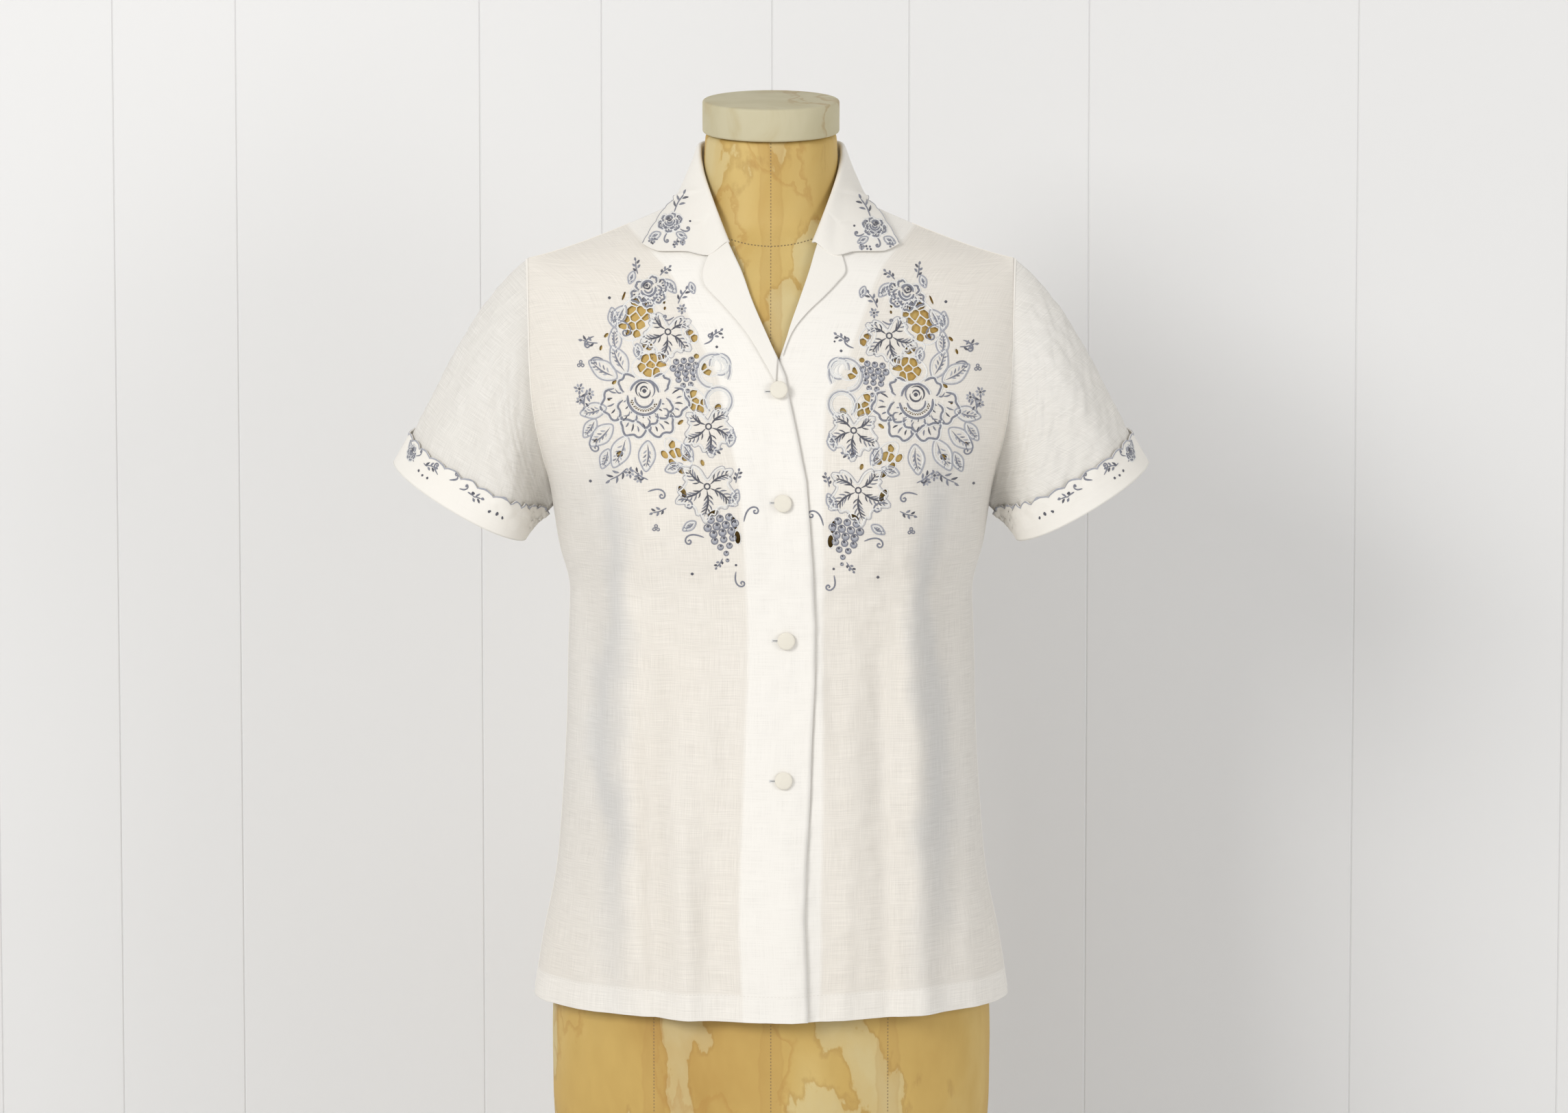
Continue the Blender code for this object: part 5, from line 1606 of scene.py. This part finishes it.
# Lobes of a vine leaf: where the vein points in degrees and how far it reaches
LOBES = ((-35, 0.82), (30, 0.96), (90, 1.0), (150, 0.96), (215, 0.82))
# The edge round one lobe: degrees off its vein and share of its reach
TEETH = ((-24, 0.78), (-17, 0.92), (-10, 0.88), (0, 1.12), (10, 0.88), (17, 0.92), (24, 0.78))


def vine_leaf(size, spot):
    """A vine leaf: a ring where the veins meet, side veins and a toothed white outline."""
    x, z = spot[:2]
    out = [circle("dark", x * MM, z * MM, 2.1 * MM, 1.2 * MM)]
    outline = []
    for k, (angle, reach) in enumerate(LOBES):
        reach *= size
        vein = [polar(2.6, angle), polar(reach * 0.5, angle + 5), polar(reach * 0.95, angle - 3)]
        line = stroke(placed(vein, spot), 1.6 * MM, "leaf")
        out.append(("dark", *line))
        out += side_veins(line[0], 1.15 * MM)
        outline += [polar(reach * share, angle + aside) for aside, share in TEETH]
    outline += [polar(size * 0.50, 244), polar(size * 0.18, 270), polar(size * 0.50, 296)]
    edge = stroke(placed(outline, spot), 1.2 * MM, "stem", closed=True)
    return out + [("white", *edge), ("pale", beside(edge[0], CORD_AWAY),
                                     np.full(len(edge[0]), 0.3 * MM))]


# Rows of a bunch of grapes, from the top: how many, and their radius
BUNCH = ((3, 0.115), (4, 0.125), (3, 0.125), (3, 0.11), (2, 0.10), (1, 0.085), (1, 0.06))
GRAPE_STEP, BUNCH_TOP, BUNCH_STEP = 0.275, 0.46, 0.215


def grapes(size, spot):
    """A bunch in rows that grow narrower, a dark spot of shade on each grape."""
    out = []
    for row, (count, radius) in enumerate(BUNCH):
        for k in range(count):
            at = ((k - (count - 1) / 2.0) * size * GRAPE_STEP,
                  size * (BUNCH_TOP - BUNCH_STEP * row))
            (x, z), r = placed([at], spot)[0], radius * size * MM
            out.append(circle("mid", x, z, r * 0.86, r * 0.34))
            out.append(dot("pale", x, z - r * 0.15, r * 0.62))
            out.append(dot("dark", x + 0.1 * r, z + r * 0.36, r * 0.38))
    return out


def tendril(size, spot, curl=3):
    """A stem that curls ever tighter."""
    x, z, heading, far = 0.0, 0.0, 0.0, size * 0.29
    points = [(x, z)]
    for k in range(4 + 2 * curl):
        x, z = x + far * math.cos(heading), z + far * math.sin(heading)
        points.append((x, z))
        heading, far = heading + 0.16 + 0.16 * k, far * 0.90
    return [("mid", *stroke(placed(points, spot), 1.3 * MM, "stem"))]


def sprig(size, spot, leaves=4):
    """A slim stem with pointed leaves in turn on its two sides and one at its tip."""
    stem = [(0, 0), (size * 0.5, size * 0.06), (size, 0)]
    out = [("mid", *stroke(placed(stem, spot), 1.0 * MM, "stem"))]
    for k in range(leaves):
        at, side = size * (0.25 + 0.7 * k / leaves), (1, -1)[k % 2]
        tip = (at + size * 0.24, side * size * 0.30)
        out += worked("dark" if k % 3 == 0 else "mid", 1.9, [(at, side * 0.6), tip], spot, "leaf")
    return out + worked("mid", 2.0, [(size, 0), (size * 1.28, 0.3)], spot, "leaf")


def broad_leaf(size, spot):
    """A petal-like leaf: a pale outline, a main vein and a few slanting stitches."""
    half = [(0.0, 0.0), (0.20, 0.20), (0.48, 0.28), (0.76, 0.19), (1.0, 0.0)]
    outline = half + [(a, -b) for a, b in half[-2:0:-1]]
    out = worked("pale", 1.15, [(a * size, b * size) for a, b in outline], spot, closed=True)
    for k, at in enumerate((0.30, 0.44, 0.58, 0.72)):
        for side in (-1, 1):
            out += worked("mid" if k % 2 else "pale", 1.3,
                          [(at * size, side * 0.02 * size),
                           ((at + 0.13) * size, side * 0.13 * size)], spot, "leaf")
    return out + worked("mid", 1.4, [(0.12 * size, 0), (0.86 * size, 0)], spot, "leaf")


def scroll(size, spot):
    """An open ring round a net, with a second line inside it."""
    out = []
    for share, thread, width in ((1.0, "pale", 1.2), (0.78, "white", 1.1)):
        out += worked(thread, width, [polar(size * share, 30 + 30 * k) for k in range(11)], spot)
    return out


def flower(size, spot):
    out = []
    for petal in range(7):
        angle = 360.0 * (petal + 0.2) / 7.0
        thread, reach = ("mid", 1.0) if petal % 2 else ("pale", 0.88)
        out += worked(thread, 1.9, [polar(size * 0.28, angle), polar(size * reach, angle)],
                      spot, "leaf")
    x, z = spot[:2]
    return out + [dot("dark", x * MM, z * MM, size * 0.24 * MM)]


def berries(size, spot):
    """Three small rings close together, or one plain dot if they are tiny."""
    x, z = spot[:2]
    if size < 1.5:
        return [dot("dark", x * MM, z * MM, size * MM)]
    return [circle("mid", *placed([polar(size, 90 + 120 * k)], spot)[0], 1.1 * MM, 0.9 * MM)
            for k in range(3)]


MOTIFS = {"rose": rose, "vine": vine_leaf, "grapes": grapes, "tendril": tendril, "sprig": sprig,
          "leaf": broad_leaf, "scroll": scroll, "flower": flower, "berries": berries}
# Wearer's right front: motif, then x, height, size and turn in mm and degrees for each, and
# -1 where it is mirrored
FRONT_MOTIFS = (
    ("rose", (-95, 793, 33, 0), (-92, 877, 14.5, 20)),
    ("vine", (-77.5, 847, 20, 172), (-46.5, 777, 20, 186), (-47.5, 732.5, 24, 178)),
    ("grapes", (-64, 816, 21, 8), (-36, 697, 25, 10)),
    ("scroll", (-43, 818, 12.5, -60), (-39, 796, 10, -100), (-38, 823, 8, 40, -1)),
    ("leaf", (-109, 815, 24, 118), (-116, 812, 25, 150), (-117, 832, 18, 95),
     (-124, 790, 21, 195), (-119, 777, 24, 222), (-108, 769, 26, 246), (-92, 766, 23, 266),
     (-110, 866, 18, 235), (-80, 886, 13, -50), (-79, 744, 14, 20), (-104, 892, 10, 250),
     (-132, 781, 17, 236), (-122, 759, 16, 250), (-66, 764, 15, -60), (-118, 850, 15, 100),
     (-101, 838, 12, -80), (-61, 884, 9, -70), (-31, 762, 13, 80), (-29, 718, 13, 70),
     (-56, 706, 12, 215)),
    ("sprig", (-101, 890, 10, 100), (-84, 889, 9, 40), (-108, 745, 16, 215), (-92, 737, 12, 150),
     (-139, 803, 13, 80, -1), (-46, 842, 10, 35), (-131, 838, 12, 170), (-48, 757, 10, 15),
     (-78, 716, 11, 200), (-26, 735, 9, 75), (-70, 868, 12, 60), (-36, 678, 8, 235)),
    ("tendril", (-120, 856, 17, 172, -1), (-134, 843, 10, 200), (-73, 858, 8, 35, -1),
     (-50, 838, 9, 20), (-70, 722, 12, 190, -1), (-133, 771, 14, 240), (-41, 756, 8, -20, -1),
     (-50, 694, 14, 160), (-26, 668, 12, 262), (-127, 826, 9, 160), (-62, 755, 8, 60),
     (-92, 728, 13, 200, -1), (-20, 706, 14, 258, -1)),
    ("flower", (-145, 803.5, 4.6, 0), (-137, 800, 4.4, 20), (-144, 795, 4, 40),
     (-106, 742, 4.6, 10), (-99, 738, 4.2, 30), (-67, 864, 4.2, 0)),
    ("berries", (-144, 822, 1.7, 0), (-86, 700.5, 1.7, 0), (-122.5, 872, 1.2, 0),
     (-40.5, 836, 1.1, 0), (-136.5, 734, 1.2, 0), (-59, 666, 1.2, 0), (-26, 673, 1.0, 0),
     (-68, 857, 0.9, 0), (-134, 788, 0.8, 0), (-36, 843, 0.8, 0)),
)


def all_strokes(rows):
    """Every stroke of the motifs in a table, as (thread, centre line, half widths)."""
    out = []
    for kind, *places in rows:
        for x, z, size, turn, *flip in places:
            out += MOTIFS[kind](size, (x, z, turn, flip[0] if flip else 1))
    return out


# %% Raising the threads off the cloth
THREADS = tuple(RAISED)
CLEAR_OF_CLOTH = 0.03 * MM


def raise_threads(name, strokes, ground):
    """One grid primitive holds every stroke: rows of five points laid on the cloth."""
    spots, maps, keep = [], [], []
    for _, centre, half, high in strokes:
        tangent = unit(np.gradient(centre, axis=0))
        side = np.stack([-tangent[:, 1], tangent[:, 0]], axis=-1)
        run = run_along(centre)
        found = [[ground(*(centre[i] + side[i] * half[i] * across)) for across in PROFILE]
                 for i in range(len(centre))]
        if any(hit is None for row in found for hit, _ in row):
            continue
        for i, row in enumerate(found):
            tall = min(high, 0.9 * half[i])
            spots += [hit + normal * (tall * up + CLEAR_OF_CLOTH)
                      for (hit, normal), up in zip(row, BUMP_UP)]
            maps += [(half[i] * across, run[i]) for across in PROFILE]
            keep.append(i + 1 < len(found))
    columns = len(PROFILE)
    piece = new_grid(name, np.array(spots, dtype=float).reshape(len(keep), columns, 3))
    mesh = piece.data
    set_map(mesh, np.array(maps))
    work = bmesh.new()
    work.from_mesh(mesh)
    loose = [face for face in work.faces
             if not keep[min(v.index for v in face.verts) // columns]]
    bmesh.ops.delete(work, geom=loose, context="FACES")
    work.to_mesh(mesh)
    work.free()
    bpy.ops.object.shade_smooth()
    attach(piece, "root")
    print(name, "strokes:", len(strokes), "faces:", len(mesh.polygons))
    return piece


def lay_on(*names):
    """Where a point of the picture plane meets the nearest of the named cloths."""
    found = [trees[name] for name in names]

    def ground(x, z):
        best = (None, None)
        for tree in found:
            hit, normal, _, _ = tree.ray_cast(Vector((x, IN_FRONT, z)), STRAIGHT_BACK)
            if hit is not None and (best[0] is None or hit.y < best[0].y):
                best = (hit, normal if normal.y < 0.0 else -normal)
        return best
    return ground


# %% Edges and bars of the open work, in white buttonhole stitch
def outline_of(x, z, length, width, turn, grow):
    return turned_ellipse(x * MM, z * MM, length * MM * grow, width * MM * grow, turn, 16)


# Rims of the nets, of the slits and of the cells of the nets, with their widths in mm
rims = [(outline_of(x, z, length, width, turn, 1.06), 1.1)
        for _, x, z, length, width, turn, _ in NETS]
rims += [(outline_of(x, z, length / 2.0, width / 2.0, turn, 1.2), 0.8)
         for _, x, z, length, width, turn in SLITS]
for gap in GAPS[:NET_GAPS]:
    loop = rounded(gap)
    middle = loop.mean(axis=0)
    rims.append((middle + (loop - middle) * 1.05, 0.62))
motif = all_strokes(FRONT_MOTIFS)
motif += [("white", *stroke(line, width * MM, "stem", closed=True)) for line, width in rims]

threads = {thread: [] for thread in THREADS}
for side in ("right", "left"):
    for thread in THREADS:
        chosen = [(kind, centre if side == "right" else mirror_line(centre), half,
                   RAISED[thread] * MM) for kind, centre, half in motif if kind == thread]
        threads[thread].append(raise_threads("embroidery_%s_%s" % (thread, side), chosen,
                                             lay_on("front_" + side)))

# %% Thread
# Each thread has a light and a deep colour, between which the satin finish paints sheen and shade
# across its stitches.
THREAD_COLOURS = {"dark": ((0.110, 0.113, 0.142), (0.070, 0.072, 0.092)),
                  "mid": ((0.258, 0.267, 0.318), (0.175, 0.182, 0.222)),
                  "pale": ((0.440, 0.450, 0.500), (0.345, 0.355, 0.400)),
                  "white": ((0.880, 0.875, 0.850), (0.740, 0.735, 0.720))}
SATIN_PITCH = 0.42 * MM


def satin(name, light, deep):
    """Stitches lie across a stroke, so the sheen runs across it too: the colour swings from deep to
    light across each stitch, painted sheen and shade, under a fine random tone.
    """
    material, tree, shader, place = new_finish(name)
    across, along = add_parts(tree, place["UV"])[:2]
    slant = add_math(tree, "ADD", along, add_product(tree, across, 0.45))
    wave = add_math(tree, "SINE", add_product(tree, slant, 2.0 * math.pi / SATIN_PITCH))
    fine = add_noise(tree, place["Object"], 420.0)
    # Painted sheen and shade across the stitches, with a fine random tone
    painted_sheen_and_tone = add_math(tree, "ADD", add_product(tree, wave, 0.22), fine, clamp=True)
    set_surface(tree, shader, add_ramp(tree, painted_sheen_and_tone, ((0.25, deep), (0.75, light))),
                {"Roughness": 0.46, "Specular IOR Level": 0.4, "Sheen Weight": 0.25})
    add_bump(tree, shader, wave, 0.06 * MM, 0.8)
    return material


finishes = {thread: satin("thread_" + thread, *THREAD_COLOURS[thread]) for thread in THREADS}
for thread, pieces in threads.items():
    assign(pieces, finishes[thread])
with_pieces = {"front_" + side: [pieces[k] for pieces in threads.values()]
               for k, side in enumerate(("right", "left"))}

# %% [markdown]
# ## Collar, cuffs and seams
# The same threads return on the collar's points and on the turned-up cuffs: a small rose
# with a sprig, a curl, and rows of dots. Their scalloped edges are bound in buttonhole
# stitch. The armhole and shoulder seams are felled, so they stand up as a narrow band.

# %% Threads laid on a sheet by its own directions
def lay_on_grid(name, width, height, above=0.45 * MM):
    """Points given as metres along and up a sheet, placed on its outer face."""
    points, normals, wraps = grids[name]
    rows, columns = points.shape[:2]

    def ground(x, z):
        u = x / width
        u = u % 1.0 * columns if wraps else min(max(u, 0.0), 1.0) * (columns - 1)
        v = min(max(z / height, 0.0), 1.0) * (rows - 1)
        i, j = min(int(v), rows - 2), int(u)
        k = (j + 1) % columns if wraps else min(j + 1, columns - 1)
        j = j % columns
        s, t = u - int(u), v - i
        place = ((points[i, j] * (1 - s) + points[i, k] * s) * (1 - t)
                 + (points[i + 1, j] * (1 - s) + points[i + 1, k] * s) * t)
        normal = Vector(normals[i, j]).normalized()
        return Vector(place) + normal * above, normal
    return ground


def band(name, ground, runs, width, high, finish, owners):
    """Narrow raised bands along the given runs of a sheet."""
    strokes = []
    for points in runs:
        points = np.array(points, dtype=float)
        strokes.append(("band", points, np.full(len(points), width / 2.0), high))
    piece = raise_threads(name, strokes, ground)
    assign([piece], finish)
    for owner in owners:
        with_pieces.setdefault(owner, []).append(piece)
    return piece


# %% Scalloped edges, seams and buttonholes
CUFF_AROUND = sheets["cuff_right"][0][0]
SLEEVE_AROUND, SLEEVE_LONG = sheets["sleeve_right"][0][0], 0.19
COLLAR_DEEP, COLLAR_LONG = sheets["collar"][0]
SEAMS_UP = 0.3 * MM
seam_finish = cloth["collar"].data.materials[0]


def across_at(run, up):
    """A run across a sheet at one height of it."""
    return [np.stack([run, np.full_like(run, up)], -1)]


def up_at(across, run):
    """A run up a sheet at one distance across it."""
    return [np.stack([np.full_like(run, across), run], -1)]


for side in ("right", "left"):
    around = np.linspace(0.0, 1.0, CUFF_SCALLOPS * 16 + 1)
    band("cuff_edge_stitch_" + side, lay_on_grid("cuff_" + side, CUFF_AROUND, CUFF_HEIGHT),
         across_at(around * CUFF_AROUND, CUFF_HEIGHT * 0.975),
         1.2 * MM, 0.40 * MM, finishes["pale"], ["cuff_" + side])
    band("armhole_seam_" + side,
         lay_on_grid("sleeve_" + side, SLEEVE_AROUND, SLEEVE_LONG, SEAMS_UP),
         across_at(around * SLEEVE_AROUND, 0.1888),
         2.4 * MM, 0.55 * MM, seam_finish, ["sleeve_" + side])
    front, (width, length) = "front_" + side, sheets["front_" + side][0]
    band("side_seam_" + side, lay_on_grid(front, width, length, 0.25 * MM),
         up_at(width * 0.998, np.linspace(0.012, 0.72, 120) * length),
         2.0 * MM, 0.35 * MM, seam_finish, [front])
    band("shoulder_seam_" + side, lay_on_grid(front, width, length, SEAMS_UP),
         across_at(np.linspace(0.30, 0.985, 60) * width, length * 0.9985),
         2.2 * MM, 0.5 * MM, seam_finish, [front])
# The binding along the collar's edge is real stitch; its pale grey-blue is partly painted shade
# along the edge.
band("collar_edge_stitch_and_shade", lay_on_grid("collar", COLLAR_DEEP, COLLAR_LONG),
     up_at(COLLAR_DEEP * 0.985, np.linspace(0.004, 0.996, 700) * COLLAR_LONG),
     1.2 * MM, 0.40 * MM, finishes["pale"], ["collar"])

BUTTONHOLE_START, BUTTONHOLE_LENGTH = 10.5 * MM, 15 * MM
runs, slits = [], []
for x, z in BUTTONS:
    left = x * MM - BUTTONHOLE_START
    for drop in (-0.62, 0.62):
        runs.append([(left + k * BUTTONHOLE_LENGTH / 13.0, z * MM + drop * MM)
                     for k in range(14)])
    runs.append([(left, z * MM - 0.9 * MM + k * 0.6 * MM) for k in range(4)])
    slits.append([(left + 0.6 * MM + k * 0.6 * MM, z * MM) for k in range(8)])
band("buttonhole_stitch", lay_on("front_right", "lapel_right"), runs, 0.9 * MM, 0.35 * MM,
     finishes["white"], ["front_right"])
# Painted shade: a dark band in the dark thread's finish lies in each buttonhole's slit, for the
# shade in the cut.
band("buttonhole_slit_shade", lay_on("front_right", "lapel_right"), slits, 0.45 * MM, 0.12 * MM,
     finishes["dark"], ["front_right"])

# %% Small roses, sprigs and dots of the cuffs and the collar
COLLAR_MOTIFS = (
    ("rose", (-77, 929, 9, 15)),
    ("sprig", (-74, 937, 15, 62)),
    ("leaf", (-72, 921, 9, -25), (-84, 921, 10, 205)),
    ("tendril", (-79, 921, 7, 235), (-69, 924, 7, -30)),
    ("sprig", (-71, 917, 6, 250), (-86, 916, 6, 10, -1)),
    ("flower", (-67, 914, 2.6, 0)),
    ("berries", (-61.5, 930, 0.9, 0), (-90, 913, 0.8, 0)),
)
COLLAR_MIRROR, COLLAR_DROP = 1.0 * MM, 3.5 * MM
CUFF_MOTIFS = (
    ("rose", (25, 18, 7, 0)),
    ("tendril", (33, 20, 7, 10), (34, 15, 6, -20, -1)),
    ("leaf", (19, 20, 8, 150)),
    ("sprig", (46, 19, 11, 8)),
    ("tendril", (62, 18, 8, -15, -1), (73, 19, 8, 25), (84, 18, 7, 0)),
    ("sprig", (92, 18, 12, 2)),
    ("berries", (44, 11.5, 1.1, 0), (49.5, 11.2, 1.1, 0), (55, 11, 1.1, 0), (115, 14.5, 1.3, 0),
     (121.5, 13.6, 1.3, 0), (128, 12.8, 1.3, 0)),
)


def across_collar(line):
    return np.stack([2.0 * COLLAR_MIRROR - line[:, 0], line[:, 1] - COLLAR_DROP], -1)


for side in ("right", "left"):
    for owner, rows, ground in (
            ("collar", COLLAR_MOTIFS, lay_on("collar")),
            ("cuff_" + side, CUFF_MOTIFS, lay_on_grid("cuff_" + side, CUFF_AROUND, CUFF_HEIGHT))):
        crossed = owner == "collar" and side == "left"
        strokes = all_strokes(rows)
        for thread in THREADS:
            chosen = [(kind, across_collar(line) if crossed else line, half, RAISED[thread] * MM)
                      for kind, line, half in strokes if kind == thread]
            piece = raise_threads("%s_embroidery_%s_%s" % (owner.split("_")[0], thread, side),
                                  chosen, ground)
            assign([piece], finishes[thread])
            with_pieces.setdefault(owner, []).append(piece)

# %% [markdown]
# ## How each sheet lies
# For every cloth piece: the size it is cut to, how it is held, and what it rests on. The
# cut is measured along the piece itself, and its area is that of the piece before its
# wall and its holes were made.

# %% Sheets
REST = {
    "front_right": ("hung", ["form_torso"]), "front_left": ("hung", ["form_torso"]),
    "back": ("hung", ["form_torso"]),
    "sleeve_right": ("hung", ["front_right", "back"]),
    "sleeve_left": ("hung", ["front_left", "back"]),
    "cuff_right": ("folded", ["sleeve_right"]), "cuff_left": ("folded", ["sleeve_left"]),
    "collar": ("folded", ["front_right", "front_left", "back"]),
    "lapel_right": ("folded", ["front_right"]), "lapel_left": ("folded", ["front_left"]),
}
for name, (held, under) in REST.items():
    (width, length), area = sheets[name]
    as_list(with_pieces.get(name, []))
    print(name, "cut", round(width / MM), "x", round(length / MM), "mm,",
          round(area * 1e4), "cm2, held", held)
